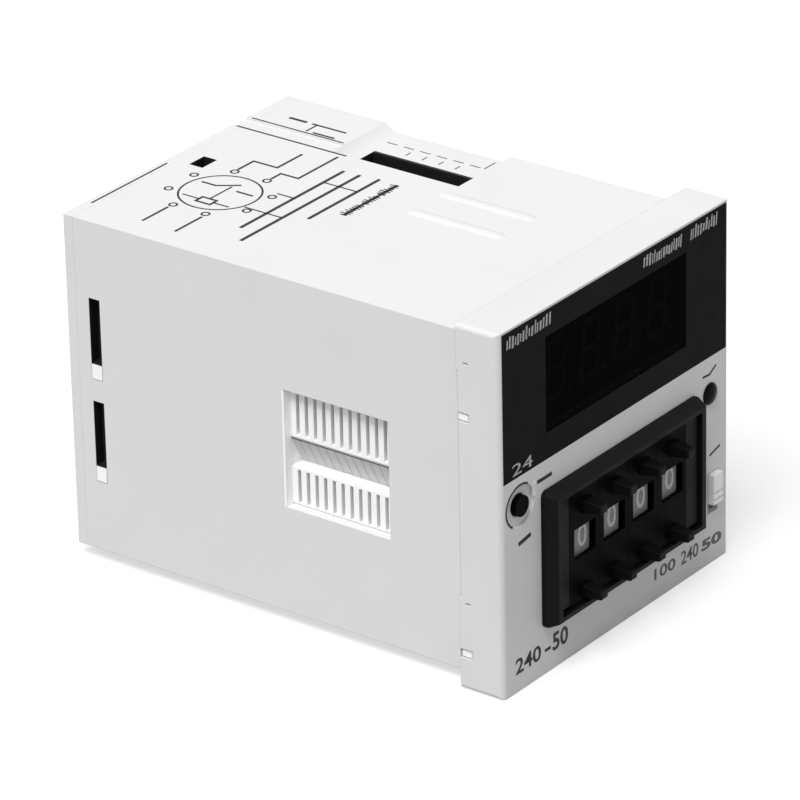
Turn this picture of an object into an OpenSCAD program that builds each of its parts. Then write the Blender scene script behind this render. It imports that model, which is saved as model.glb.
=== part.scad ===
// Plug-in digital timer with a square front, in millimetres.
// X runs right across the front, Y runs rearwards, Z runs up.
// The origin is the centre of the pin circle on the rear plug face.
// Depths called "y" below are measured rearwards from the front face.

/* [Front frame] */
// Side of the square front frame
front_w = 48; // [46:0.5:54]
// Depth of the front frame, from its face to the panel seat
flange_d = 6.2; // [5.8:0.1:8]
// Thickness of the front plate
plate_t = 2.4; // [2.2:0.1:2.8]
// Radius of the two upright front edges
edge_r = 0.9; // [0.4:0.1:1.2]
// Radius of the frame's four corners, seen from the front
corner_r = 0.6; // [0.3:0.1:0.8]

/* [Case] */
// How far the front frame stands out round the case
rim = 1.6; // [1.4:0.1:2]
// Length from the front face to the plug face
unit_len = 66.5; // [66:0.5:80]
// Wall of the case
wall = 1.5; // [1.3:0.1:1.7]
// Thickness of the rear cover's plate
cover_t = 1.4; // [1:0.1:2]

/* [Side grilles] */
// Length of a grille window along the case
grille_len = 16; // [14:0.1:18]
// Front end of a grille window
grille_y = 17.5; // [15:0.1:24]
// Top of a grille window
grille_top = 7.6; // [6:0.1:9]
// Bottom of a grille window
grille_bottom = -8.1; // [-10:0.1:-7]
// Gaps in each row of a grille
grille_gaps = 11; // [6:1:12]
// Width of one gap
gap_w = 0.5; // [0.3:0.05:0.7]
// How far the slats lie behind the case's side
slat_set = 1.3; // [0.6:0.1:1.3]
// Depth of the sloping louvre between the rows
louvre_d = 2.1; // [1:0.1:2.2]

/* [Top slot] */
// Width of the pocket, up to the case's right side
pocket_w = 11.1; // [10:0.1:12]
// Front end of the pocket
pocket_y = 31.5; // [30:0.1:34]
// Length of the pocket's flat floor
pocket_len = 16.9; // [16:0.1:18]
// Depth of the pocket
pocket_d = 1; // [0.6:0.1:1.2]
// Width of the slot in the pocket's floor
slot_w = 5; // [4.6:0.1:6]
// Length of the slot
slot_len = 15.8; // [14:0.1:16]
// Levers on the range switch under the slot
lever_pitch = 2.54; // [2.2:0.01:2.8]

/* [Display] */
// Bottom edge of the black window panel
window_bottom = 4.3; // [3.8:0.1:5]
// Margin beside the window panel
window_rim = 0.7; // [0.6:0.1:1.5]
// Margin above the window panel
window_top_rim = 0.3; // [0.3:0.1:1]
// Thickness of the window panel
sheet_t = 0.5; // [0.4:0.1:0.8]
// Thickness of the filter behind it
filter_t = 1; // [0.6:0.1:1.2]
// Clear width of the filter
filter_w = 29.3; // [27:0.1:30]
// Clear height of the filter
filter_h = 12.5; // [11:0.1:13]
// Height of one digit
digit_h = 8; // [6:0.1:9]
// Width of one digit
digit_w = 4.3; // [3.5:0.1:4.8]
// Margin beside the row of digits, in the display's housing
digit_margin = 1.1; // [0.8:0.1:2]
// Width of a segment
segment_w = 0.85; // [0.6:0.05:1]

/* [Thumbwheels] */
// Distance between wheels
wheel_pitch = 6.15; // [6.15:0.05:6.4]
// Height of the wheels' axis above the front frame's lower edge
wheel_up = 15.85; // [15.4:0.05:16]
// Height of the raised frame
frame_proud = 2; // [1.6:0.1:2.6]
// Bevel round the raised frame
frame_bevel = 0.8; // [0.4:0.1:1]
// Corner radius of the raised frame
frame_r = 1.5; // [0.8:0.1:2]
// Half the height of a wheel housing
housing_half = 7.6; // [7.6:0.05:7.8]
// How far the housings' faces lie behind the frame's rim
face_set = 0.5; // [0.3:0.1:0.8]
// Distance from a wheel's axis to its digit flats
wheel_flat = 6; // [5.6:0.05:6]
// Radius of the spindle through the wheels
spindle_r = 1; // [0.8:0.05:1.2]
// Width of a digit window
sight_w = 3.1; // [2.6:0.1:3.4]
// Height of a digit window
sight_h = 5.2; // [4:0.1:5.4]
// Width of a setting button
button_w = 4.6; // [4:0.1:4.7]
// Height of a setting button
button_h = 2.6; // [2.2:0.1:2.6]
// Middle of a setting button, in from the end of its housing
button_in = 1.85; // [1.8:0.05:2]
// How far a setting button stands out of its housing
button_proud = 2.8; // [2.2:0.1:3.2]
// Travel of a setting button
button_travel = 1; // [0.6:0.05:1]

/* [Front controls] */
// Reset button, in from the frame's left edge
reset_in = 4.05; // [4:0.05:4.6]
// Reset button, above the unit's axis
reset_z = 0.43; // [-1:0.01:1.2]
// Radius of the reset button
reset_r = 1.35; // [1:0.05:1.5]
// Radius of the finger dish round it
dish_r = 2.75; // [2.2:0.05:2.9]
// Indicator lens, in from the frame's right edge
lamp_in = 4.3; // [4.2:0.05:4.7]
// Indicator lens, above the unit's axis
lamp_z = -0.54; // [-1:0.01:1]
// Radius of the indicator lens
lamp_r = 1.25; // [0.9:0.05:1.4]
// Lock slider, in from the frame's right edge
slider_in = 3.6; // [3.4:0.05:4]
// Upper end of the lock slider's slot, above the front frame's lower edge
slider_up = 12.5; // [12:0.05:13]
// Width of the lock slider
slider_w = 2; // [1.6:0.05:2.2]
// Length of the lock slider
slider_len = 4; // [3.4:0.05:4.4]
// Travel of the lock slider
slider_travel = 1.4; // [1:0.05:1.6]

/* [Plug] */
// Diameter of the circle of pins
pin_circle = 17.45; // [17:0.05:18]
// Radius of a pin
pin_r = 1.18; // [1:0.01:1.3]
// Length of a pin outside the plug face
pin_len = 11; // [9:0.5:13]
// Radius of the centring spigot
spigot_r = 3.9; // [3.5:0.05:4.2]
// Length of the spigot
spigot_len = 13.5; // [12:0.5:15]

/* [Hidden] */
$fn = 48;

// Clearances
fit = 0.1;
seat = 0.05;
run_fit = 0.05;
cut = 1;

// Case, front frame and cover
case_w = front_w - 2 * rim;
case_half = case_w / 2;
inner_half = case_half - wall;
sleeve_lap = 1.2;
sleeve_y = plate_t + sleeve_lap;
cover_y = unit_len - cover_t;
skirt_t = 1.2;
skirt_len = 7;
skirt_half = inner_half - fit;

// Controls of the front, across from the unit's axis
reset_x = reset_in - front_w / 2;
lamp_x = front_w / 2 - lamp_in;
slider_x = front_w / 2 - slider_in;
slider_top = slider_up - front_w / 2;

// Snap nubs that hold the front frame on the case
nub_in = 1.7;
nub_y = flange_d - nub_in;
nub_len = 1.55;
nub_spots = [[12.1, 0.95], [-19.2, 0.95]];
nub_clear = 0.1;

// Latches of the rear cover: lowest point and top of each slot, and the hook's height
latch_slots = [[1, 12.05], [-13, -1.9]];
latch_in = 5.1;
latch_y = unit_len - latch_in;
latch_w = 1.7;
hook_h = 2.1;
latch_port = [3, 2.1];
latch_port_x = -0.3;

// Pocket on top
slot_lead = 0.8;
pocket_x = case_half - pocket_w;

// Bosses for the front board's screws
boss_r = 1.5;
boss_in = 2.2;
boss_x = inner_half - boss_in;
guide_left = 3;
low_boss_x = slider_x - guide_left - 0.4 - boss_r;
boss_spots = [[-boss_x, boss_x], [boss_x, boss_x], [low_boss_x, -boss_x]];

// Window stack
window_half = front_w / 2 - window_rim;
window_top = front_w / 2 - window_top_rim;
window_h = window_top - window_bottom;
window_z = (window_top + window_bottom) / 2;
filter_lip = 1.6;
filter_back = sheet_t + filter_t;
display_x = 0.9;
display_w = 2 * (boss_x - boss_r - 1.1 - display_x);
display_h = 2 * (inner_half - 0.5 - window_z);
digit_pitch = (display_w - 2 * digit_margin) / 4;
display_y = filter_back + 0.3;
segment_d = 1;
digit_slant = 0.1;
digit_gap = 0.14;

// Thumbwheel unit
wheels = 4;
wheel_z = wheel_up - front_w / 2;
button_z = housing_half - button_in;
unit_half = wheels * wheel_pitch / 2;
end_t = 2.6;
end_half = unit_half + end_t;
frame_lip = 0.4;
skirt_wall_x = 0.55;
skirt_wall_z = 0.4;
opening_half_x = end_half + fit + skirt_wall_x + fit;
opening_half_z = housing_half + fit + skirt_wall_z + fit;
frame_half_x = opening_half_x + 0.45;
frame_half_z = opening_half_z + 0.45;
face_y = face_set - frame_proud;
face_t = 0.85;
wheel_tip = wheel_flat / cos(18);
cavity_r = wheel_tip + 0.25;
axis_y = face_y + face_t + cavity_r;
housing_wall = 0.7;
housing_back = axis_y + cavity_r + 1;
board_t = 0.8;
housing_w = wheel_pitch - seat;
cavity_left = -housing_w / 2 + housing_wall;
contact_left = housing_w / 2 - board_t;
rim_right = sight_w / 2 + 0.1;
foot_out = 0.3;
foot_t = 0.55;
lip_t = 1;
rod_r = 0.7;
rod_y = housing_back - 1.6;
rod_z = housing_half - 1.3;
contact_half = housing_half - 0.8;
contact_y = face_y + face_t + 2.3;
contact_back = housing_back + 3;

// Circuit boards
circuit_t = 1.2;
front_board_y = 9;
front_board_back = front_board_y + circuit_t;
side_t = 1.6;
side_in = 4.9;
side_x = inner_half - side_in;
side_y = 18.5;
tail_board_y = cover_y - skirt_len - fit - side_t;
rail_t = 0.8;
rail_d = 1.2;
rail_set = 1;
screw_r = 0.75;
leg_in = end_half + 0.5;

// Range switch
switch_gap = 0.4;
switch_top = case_half - pocket_d - wall - switch_gap;
switch_len = slot_len + 2 * switch_gap;
switch_h = 4.6;
switch_over = 1;
switch_left = pocket_x - switch_over;
switch_mid = pocket_y + slot_lead + slot_len / 2;
lever_travel = 1.5;
lever_in = 2.1;
lever_x = switch_left + lever_in;

// Flat shape in X and Z, pushed back from y by len
module slab(y, len) {
    translate([0, y + len, 0]) rotate([90, 0, 0]) linear_extrude(height = len) children();
}

// Flat shape in Y and Z, pushed right from x by len
module side_slab(x, len) {
    translate([x, 0, 0]) rotate([90, 0, 90]) linear_extrude(height = len) children();
}

// Round bar or bore along Y
module rod_y(x, y, z, r, len) {
    translate([x, y + len, z]) rotate([90, 0, 0]) cylinder(r = r, h = len);
}

// Round bar or bore along X
module rod_x(x, y, z, r, len) {
    translate([x, y, z]) rotate([0, 90, 0]) cylinder(r = r, h = len);
}

// Box between two corners
module block(low, high) {
    translate(low) cube(high - low);
}

// Rectangle with round corners
module round_rect(w, h, r) {
    difference() {
        square([w, h], center = true);
        for (i = [-1, 1], j = [-1, 1])
            translate([i * w / 2, j * h / 2]) difference() {
                square(2 * r, center = true);
                translate([-i * r, -j * r]) circle(r);
            }
    }
}

// Everything is drawn from the front face and moved to the plug face's origin
module placed() {
    translate([0, -unit_len, 0]) children();
}

// Case: a square sleeve, open at both ends
module case() {
    color([0.93, 0.93, 0.92]) placed() {
        difference() {
            union() {
                case_sleeve();
                pocket_pad();
                top_ribs();
                snap_nubs();
                board_rails();
            }
            pocket();
            range_slot();
            label_channel();
            for (side = [-1, 1]) grille_window(side);
            latch_cuts();
        }
    }
}

module case_sleeve() {
    slab(sleeve_y, cover_y - sleeve_y) difference() {
        square(case_w, center = true);
        square(2 * inner_half, center = true);
    }
}

// Thicker wall inside, under the pocket
pad_edge = 1.5;
ramp_len = 2.6;
module pocket_pad() {
    block([pocket_x - pad_edge, pocket_y - pad_edge, case_half - pocket_d - wall],
          [inner_half + wall / 2, pocket_y + pocket_len + ramp_len + pad_edge, case_half - wall / 2]);
}

// Pocket open to the right, with a round ramp at its rear end
module pocket() {
    ramp_r = (ramp_len * ramp_len + pocket_d * pocket_d) / (2 * pocket_d);
    floor_z = case_half - pocket_d;
    side_slab(pocket_x, case_w) {
        translate([pocket_y, floor_z]) square([pocket_len, pocket_d + cut]);
        intersection() {
            translate([pocket_y + pocket_len, floor_z + ramp_r]) circle(ramp_r);
            translate([pocket_y + pocket_len, floor_z]) square([ramp_len + cut, pocket_d + cut]);
        }
    }
}

module range_slot() {
    block([pocket_x, pocket_y + slot_lead, case_half - 3 * wall],
          [pocket_x + slot_w, pocket_y + slot_lead + slot_len, case_half]);
}

// Shallow channel from the pocket's ramp to the rear edge
channel_w = 2.7;
channel_d = 0.35;
module label_channel() {
    block([pocket_x, pocket_y + pocket_len + ramp_len, case_half - channel_d],
          [pocket_x + channel_w, unit_len + cut, case_half + cut]);
}

// Two low round ribs on top, near the front
rib_spots = [2, 8.4];
rib_y = 17;
rib_len = 16;
rib_r = 1.8;
rib_rise = 0.25;
module top_ribs() {
    intersection() {
        for (x = rib_spots) {
            rod_y(x, rib_y + rib_r, case_half + rib_rise - rib_r, rib_r, rib_len - 2 * rib_r);
            for (y = [rib_y + rib_r, rib_y + rib_len - rib_r])
                translate([x, y, case_half + rib_rise - rib_r]) sphere(rib_r);
        }
        block([-case_half, rib_y, case_half - wall / 2],
              [case_half, rib_y + rib_len, case_half + cut]);
    }
}

module snap_nubs() {
    for (side = [-1, 1], spot = nub_spots) {
        outer = front_w / 2 - 0.15;
        translate([side * (inner_half + outer) / 2, nub_y + nub_len / 2, spot[0]])
            cube([outer - inner_half, nub_len, spot[1]], center = true);
    }
}

module grille_window(side) {
    translate([side * case_half, grille_y + grille_len / 2, (grille_top + grille_bottom) / 2])
        cube([4 * wall, grille_len, grille_top - grille_bottom], center = true);
}

// Slots for the cover's hooks, two on each side, and a port above and below
module latch_cuts() {
    for (side = [-1, 1], span = latch_slots)
        translate([side * case_half, latch_y + latch_w / 2, (span[0] + span[1]) / 2])
            cube([4 * wall, latch_w, span[1] - span[0]], center = true);
    for (side = [-1, 1])
        translate([latch_port_x, latch_y + latch_w / 2, side * case_half])
            cube([latch_port[0], latch_port[1], 4 * wall], center = true);
}

// Pairs of rails that hold the edges of the two side boards
module board_rails() {
    for (side = [-1, 1], edge = [-1, 1], gap = [-rail_t - fit, side_t + fit])
        translate([side * (side_x + gap + rail_t / 2), side_y + rail_set, 0])
            translate([-rail_t / 2, 0, edge > 0 ? inner_half - rail_d : -inner_half - wall / 2])
                cube([rail_t, tail_board_y - side_y - 2 * rail_set, rail_d + wall / 2]);
}

// Front frame: a shallow square cap that snaps over the case
module front_bezel() {
    color([0.80, 0.80, 0.79]) placed() {
        difference() {
            bezel_cap();
            bezel_hollow();
            window_seat();
            thumbwheel_opening();
            reset_cut();
            lamp_cut();
            slider_cut();
            bezel_side_cuts();
        }
        difference() {
            for (spot = boss_spots) board_boss(spot);
            for (spot = boss_spots) screw_at(spot, screw_r - 0.1, boss_len());
        }
    }
}

function boss_len() = front_board_y - plate_t;

// Plan outline with the two front edges rounded, cut to the front's round-cornered square
module bezel_cap() {
    intersection() {
        translate([0, 0, -front_w / 2]) linear_extrude(height = front_w) {
            translate([-front_w / 2, edge_r]) square([front_w, flange_d - edge_r]);
            translate([-front_w / 2 + edge_r, 0]) square([front_w - 2 * edge_r, flange_d]);
            for (side = [-1, 1]) translate([side * (front_w / 2 - edge_r), edge_r]) circle(edge_r);
        }
        slab(-cut, flange_d + 2 * cut) round_rect(front_w, front_w, corner_r);
    }
}

module bezel_hollow() {
    slab(plate_t, flange_d) square(case_w + 2 * fit, center = true);
}

// Recess for the window stack, and the opening that the display looks through
module window_seat() {
    translate([0, 0, window_z]) slab(-cut, filter_back + cut) square([2 * window_half, window_h], center = true);
    translate([display_x, 0, window_z]) slab(0, 2 * plate_t)
        square([display_w + 2 * fit, display_h + 2 * fit], center = true);
}

module thumbwheel_opening() {
    translate([0, 0, wheel_z]) slab(-cut, plate_t + 2 * cut)
        round_rect(2 * opening_half_x, 2 * opening_half_z, frame_r - 0.45);
}

dish_d = 0.45;
module reset_cut() {
    rod_y(reset_x, -cut, reset_z, dish_r, cut + dish_d);
    rod_y(reset_x, -cut, reset_z, reset_r + fit, plate_t + 2 * cut);
}

module lamp_cut() {
    rod_y(lamp_x, -cut, lamp_z, lamp_r + run_fit, plate_t + 2 * cut);
}

slider_end = 0.1;
module slider_cut() {
    long = slider_len + slider_travel + 2 * slider_end;
    block([slider_x - slider_w / 2 - fit, -cut, slider_top - long],
          [slider_x + slider_w / 2 + fit, plate_t + cut, slider_top]);
}

// Snap windows, a shallow step at the rear edge and two short marks on each side
step_d = 0.25;
step_span = [-11.8, 18.1];
mark_spots = [[4.4, 19.15], [4.6, -12.45]];
module bezel_side_cuts() {
    for (side = [-1, 1]) {
        for (spot = nub_spots)
            translate([side * front_w / 2, nub_y + nub_len / 2, spot[0]])
                cube([8 * step_d + 2 * (front_w / 2 - case_half), nub_len + 2 * nub_clear,
                      spot[1] + 2 * nub_clear], center = true);
        translate([side * front_w / 2, flange_d, (step_span[0] + step_span[1]) / 2])
            cube([2 * step_d, 2 * step_d, step_span[1] - step_span[0]], center = true);
        for (mark = mark_spots)
            translate([side * front_w / 2, mark[0] + 0.35, mark[1]])
                cube([2 * step_d, 0.7, 0.25], center = true);
    }
}

module board_boss(spot) {
    rod_y(spot[0], plate_t - seat, spot[1], boss_r, boss_len() + seat);
}

module screw_at(spot, r, len) {
    rod_y(spot[0], front_board_back + seat - len, spot[1], r, len);
}

// Rear cover: plate, inner skirt with hooks, pin seat and keyed spigot
key_rise = 1.1;
key_w = 2.2;
spigot_bore = 1.8;
seat_disc_r = 12;
seat_disc_t = 2.6;
module rear_cover() {
    color([0.90, 0.90, 0.89]) placed() {
        difference() {
            union() {
                slab(cover_y, cover_t) square(case_w, center = true);
                slab(cover_y - skirt_len, skirt_len + cut / 2) difference() {
                    square(2 * skirt_half, center = true);
                    square(2 * (skirt_half - skirt_t), center = true);
                }
                rod_y(0, cover_y - seat_disc_t, 0, seat_disc_r, seat_disc_t + cut / 2);
                cover_hooks();
                keyed_spigot();
            }
            label_channel();
            for (i = [0:7]) pin_place(i) rod_y(0, cover_y - 2 * seat_disc_t, 0, shank_r + 0.01, 4 * seat_disc_t);
            rod_y(0, unit_len - 1, 0, spigot_bore, spigot_len + 2);
            channel_clear();
        }
    }
}

// Room in the skirt below the top port and the range switch's pad
module channel_clear() {
    translate([latch_port_x, latch_y + latch_w / 2, 0])
        cube([latch_port[0] + 2, latch_port[1] + 2, case_w - 2 * cover_t], center = true);
}

module cover_hooks() {
    for (side = [-1, 1], span = latch_slots)
        translate([side * (skirt_half - skirt_t / 2 + case_half) / 2, latch_y + latch_w / 2, span[0] + hook_h / 2 + seat])
            cube([case_half - skirt_half + skirt_t / 2, latch_w - 2 * seat, hook_h], center = true);
}

module keyed_spigot() {
    nose = 0.8;
    rod_y(0, unit_len - cut / 2, 0, spigot_r, spigot_len - nose + cut / 2);
    translate([0, unit_len + spigot_len, 0]) rotate([90, 0, 0]) cylinder(r1 = spigot_r - nose, r2 = spigot_r, h = nose);
    block([-key_w / 2, unit_len - cut / 2, -spigot_r - key_rise], [key_w / 2, unit_len + spigot_len - 2 * nose, 0]);
}

// Pins stand at equal steps, half a step either side of the key
module pin_place(i) {
    rotate([0, 360 / 8 * (i + 0.5), 0]) translate([0, 0, pin_circle / 2]) children();
}

// Contact pins: round-nosed, with a thicker shank in the cover and a thin tail for the pin board
tail_r = 0.5;
shank_r = pin_r + 0.35;
module plug_pins() {
    color([0.80, 0.74, 0.55]) placed() for (i = [0:7]) pin_place(i) {
        rod_y(0, cover_y - seat_disc_t - 0.5, 0, shank_r, unit_len - cover_y + seat_disc_t + 0.5);
        rod_y(0, unit_len - seat, 0, pin_r, pin_len - pin_r + seat);
        translate([0, unit_len + pin_len - pin_r, 0]) sphere(pin_r);
        rod_y(0, tail_board_y - 0.8, 0, tail_r, cover_y - seat_disc_t - tail_board_y + 0.8);
    }
}

// Side grille: a white insert behind the case's window, with two rows of slats
slat_t = 1;
grille_edge = 1.2;
rail_h = 0.35;
slit_h = 0.2;
row_split = 0.95;
ledge_z = -3.08;
ledge_t = 0.6;
module vent_grille(side) {
    flat_x = slat_set;
    back_x = slat_set + slat_t;
    deep_x = slat_set + louvre_d;
    mid_y = grille_y + grille_len / 2;
    pitch = (grille_len - 3 * gap_w) / grille_gaps;
    mirror([side > 0 ? 1 : 0, 0, 0]) translate([-case_half, 0, 0]) difference() {
        union() {
            block([flat_x, grille_y + fit, grille_bottom + fit],
                  [back_x, grille_y + grille_len - fit, grille_top - fit]);
            block([wall + seat, grille_y - grille_edge, grille_bottom - grille_edge],
                  [back_x, grille_y + grille_len + grille_edge, grille_top + grille_edge]);
            louvre(flat_x, back_x, deep_x + ledge_t, ledge_t, grille_y + fit, grille_len - 2 * fit);
        }
        louvre(flat_x - cut, flat_x, deep_x, 0, grille_y + 2 * fit, grille_len - 4 * fit);
        for (i = [0:grille_gaps - 1]) {
            y = mid_y + (i - (grille_gaps - 1) / 2) * pitch;
            block([0, y - gap_w / 2, row_split + rail_h], [back_x + cut, y + gap_w / 2, grille_top - 2 * fit]);
            block([0, y - gap_w / 2, grille_bottom + 2 * fit],
                  [back_x + seat, y + gap_w / 2, ledge_z - ledge_t / 2]);
        }
        block([0, grille_y + 2 * fit, row_split - slit_h], [back_x - slat_t / 3, grille_y + grille_len - 2 * fit, row_split]);
    }
}

// Wedge between the rows: a slope facing down above a ledge facing up
module louvre(mouth_x, top_x, deep_x, skin, y, len) {
    translate([0, y + len, 0]) rotate([90, 0, 0]) linear_extrude(height = len)
        polygon([[mouth_x, row_split + skin / 2], [top_x, row_split + skin / 2],
                 [deep_x, ledge_z], [deep_x, ledge_z - skin], [mouth_x, ledge_z - skin]]);
}

module vent_grille_left() {
    color([0.97, 0.97, 0.97]) placed() vent_grille(-1);
}

module vent_grille_right() {
    color([0.97, 0.97, 0.97]) placed() vent_grille(1);
}

// Black window panel, with the display's aperture
module window_panel() {
    color([0.09, 0.09, 0.09]) placed() translate([0, 0, window_z]) slab(0, sheet_t) difference() {
        square([2 * (window_half - seat), window_h - 2 * seat], center = true);
        square([filter_w, filter_h], center = true);
    }
}

// Smoked filter, standing up into the aperture
module display_filter() {
    color([0.03, 0.03, 0.04, 0.9]) placed() translate([0, 0, window_z]) {
        slab(sheet_t, filter_t) square([2 * (window_half - seat), window_h - 2 * seat], center = true);
        slab(seat, sheet_t) square([filter_w - 2 * seat, filter_h - 2 * seat], center = true);
    }
}

// Outline of one segment: a bar with pointed ends
module segment(len) {
    half = segment_w / 2;
    polygon([[-len / 2, 0], [-len / 2 + half, half], [len / 2 - half, half],
             [len / 2, 0], [len / 2 - half, -half], [-len / 2 + half, -half]]);
}

// Seven segments and a decimal point, drawn with grow added to each outline
module digit_shape(grow) {
    across = digit_w - segment_w - digit_gap;
    up = (digit_h - segment_w) / 2;
    lean = digit_slant * up / 2;
    for (level = [-1, 0, 1])
        translate([2 * level * lean, level * up]) scale([1 + grow, 1 + grow]) segment(across - digit_gap);
    for (side = [-1, 1], level = [-1, 1])
        translate([side * across / 2 + level * lean, level * up / 2])
            rotate(90 - atan(digit_slant)) scale([1 + grow, 1 + grow]) segment(up - digit_gap);
    translate([digit_w / 2 + 0.55, -digit_h / 2 + segment_w / 2]) circle(segment_w / 2 * (1 + grow));
}

module digit_row(grow) {
    for (i = [0:3]) translate([display_x + (i - 1.5) * digit_pitch - 0.3, window_z]) digit_shape(grow);
}

display_d = 6.8;
module display_housing() {
    color([0.06, 0.06, 0.06]) placed() difference() {
        translate([display_x, 0, window_z]) slab(display_y, display_d) square([display_w, display_h], center = true);
        slab(display_y - cut, cut + segment_d) digit_row(0.04);
    }
}

// Light guides of the digits, set in the display's face
module digit_segments() {
    color([0.32, 0.30, 0.30]) placed() slab(display_y, segment_d) digit_row(0);
}

// How far the left leg reaches below the reset button, and the foot of the right leg
reset_leg = 3.4;
leg_foot = 2.4;
leg_foot_gap = 0.8;

// Front board: wide above the thumbwheels, with a leg down each side
module display_board() {
    half = inner_half - 0.3;
    leg_top = wheel_z + housing_half + 0.7;
    color([0.10, 0.35, 0.20]) placed() difference() {
        union() {
            block([-half, front_board_y, leg_top], [half, front_board_back, half]);
            block([-half, front_board_y, reset_z - reset_leg], [-leg_in, front_board_back, half]);
            block([leg_in, front_board_y, -half], [half, front_board_back, half]);
            block([low_boss_x - leg_foot, front_board_y, -half],
                  [half, front_board_back, wheel_z - housing_half - leg_foot_gap]);
        }
        for (spot = boss_spots) rod_y(spot[0], front_board_y - cut, spot[1], screw_r + fit, circuit_t + 2 * cut);
    }
}

// Screws that hold the front board to the bezel's bosses
screw_grip = 4.5;
module board_screws() {
    color([0.75, 0.75, 0.77]) placed() for (spot = boss_spots) difference() {
        union() {
            screw_at(spot, screw_r - 0.1, screw_grip);
            rod_y(spot[0], front_board_back, spot[1], 2 * screw_r, screw_r);
        }
        rotate_cross(spot);
    }
}

module rotate_cross(spot) {
    for (turn = [45, 135])
        translate([spot[0], front_board_back + screw_r, spot[1]]) rotate([0, turn, 0])
            cube([2.4 * screw_r, screw_r, 0.3], center = true);
}

// Reset button: round cap, collar behind the plate and a stem into its switch
reset_travel = 0.5;
reset_proud = 0.25;
stem_r = 0.6;
stem_in = 0.8;
reset_top = 5.6;
key_switch_w = 3.2;
key_switch_h = 4.4;
module reset_button() {
    color([0.07, 0.07, 0.07]) placed() {
        rod_y(reset_x, -reset_proud, reset_z, reset_r, plate_t + reset_proud + 0.3);
        rod_y(reset_x, plate_t + seat, reset_z, reset_r + 0.3, 0.5);
        rod_y(reset_x + stem_in, plate_t, reset_z, stem_r, reset_top - plate_t + 1);
    }
}

module reset_switch() {
    middle = key_switch_w / 2 + 0.25 - inner_half;
    color([0.15, 0.15, 0.16]) placed() difference() {
        translate([middle, (reset_top + front_board_y) / 2, reset_z])
            cube([key_switch_w, front_board_y - reset_top, key_switch_h], center = true);
        rod_y(reset_x + stem_in, reset_top - cut, reset_z, stem_r + 0.1, cut + 1 + reset_travel + 0.3);
    }
}

// Indicator: a dark lens with a collar, and the lamp on the board behind it
lens_set = 0.3;
module indicator_lens() {
    color([0.05, 0.05, 0.05, 0.95]) placed() {
        rod_y(lamp_x, lens_set + lamp_r / 3, lamp_z, lamp_r, plate_t - lens_set);
        intersection() {
            translate([lamp_x, lens_set + lamp_r, lamp_z]) sphere(lamp_r);
            rod_y(lamp_x, lens_set, lamp_z, lamp_r, plate_t);
        }
        rod_y(lamp_x, plate_t + seat, lamp_z, lamp_r + 0.3, 0.6);
        rod_y(lamp_x, plate_t, lamp_z, 0.9, 3.6);
    }
}

module indicator_lamp() {
    color([0.85, 0.85, 0.80]) placed() {
        translate([lamp_x - 0.5, (plate_t + 3.9 + front_board_y) / 2, lamp_z])
            cube([2.6, front_board_y - plate_t - 3.9, 3], center = true);
    }
}

// Lock slider: ribbed knob, a plate behind the slot and a tongue into its switch
knob_proud = 0.9;
guide_t = 0.75;
tongue_w = 1.1;
tongue_in = 1.5;
tongue_half = 1;
tongue_x = slider_x - tongue_in;
guide_right = 1.4;
guide_over = 0.3;
lock_switch_w = 2.7;
lock_switch_over = 1.7;
lock_y = 6;
tongue_depth = 0.8;
grip_set = 0.9;
grip_pitch = 0.45;
grip_half = 0.12;
grip_d = 0.3;
slider_mid = slider_top - slider_end - slider_len / 2;
lock_travel_mid = slider_mid - slider_travel / 2;
module lock_slider() {
    color([0.96, 0.96, 0.95]) placed() {
        difference() {
            block([slider_x - slider_w / 2, -knob_proud, slider_mid - slider_len / 2],
                  [slider_x + slider_w / 2, plate_t + 0.3, slider_mid + slider_len / 2]);
            for (i = [-1, 1])
                block([slider_x - slider_w, -knob_proud - cut, slider_mid - grip_set + i * grip_pitch - grip_half],
                      [slider_x + slider_w, -knob_proud + grip_d, slider_mid - grip_set + i * grip_pitch + grip_half]);
        }
        block([slider_x - guide_left, plate_t + seat, slider_mid - slider_len / 2 - slider_travel - guide_over],
              [slider_x + guide_right, plate_t + seat + guide_t, slider_mid + slider_len / 2 + slider_travel + guide_over]);
        block([tongue_x - tongue_w / 2, plate_t + seat + guide_t / 2, slider_mid - tongue_half],
              [tongue_x + tongue_w / 2, lock_y + tongue_depth, slider_mid + tongue_half]);
    }
}

module lock_switch() {
    well_half = tongue_half + slider_travel / 2 + fit;
    color([0.55, 0.56, 0.58]) placed() difference() {
        block([tongue_x - lock_switch_w / 2, lock_y, lock_travel_mid - well_half - lock_switch_over],
              [tongue_x + lock_switch_w / 2, front_board_y, lock_travel_mid + well_half + lock_switch_over]);
        block([tongue_x - tongue_w / 2 - fit, lock_y - cut, lock_travel_mid - well_half],
              [tongue_x + tongue_w / 2 + fit, lock_y + tongue_depth + 0.3, lock_travel_mid + well_half]);
    }
}

// Raised frame of the thumbwheels, bevelled all round, with a skirt through the plate
module thumbwheel_bezel() {
    lip_half_x = end_half - frame_lip;
    lip_half_z = housing_half - frame_lip + 0.1;
    color([0.07, 0.07, 0.075]) placed() translate([0, 0, wheel_z]) difference() {
        union() {
            intersection() {
                slab(-frame_proud, frame_proud) round_rect(2 * frame_half_x, 2 * frame_half_z, frame_r);
                bevel_prism(frame_half_x, 2 * frame_half_z);
                rotate([0, 90, 0]) bevel_prism(frame_half_z, 2 * frame_half_x);
            }
            slab(-seat, plate_t + seat)
                round_rect(2 * (opening_half_x - fit), 2 * (opening_half_z - fit), frame_r - 0.45 - fit);
        }
        slab(-frame_proud - cut, frame_proud + cut + plate_t) square([2 * lip_half_x, 2 * lip_half_z], center = true);
        slab(face_y - seat, frame_proud + 2 * plate_t) square([2 * (end_half + fit), 2 * (housing_half + fit)], center = true);
    }
}

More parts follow.
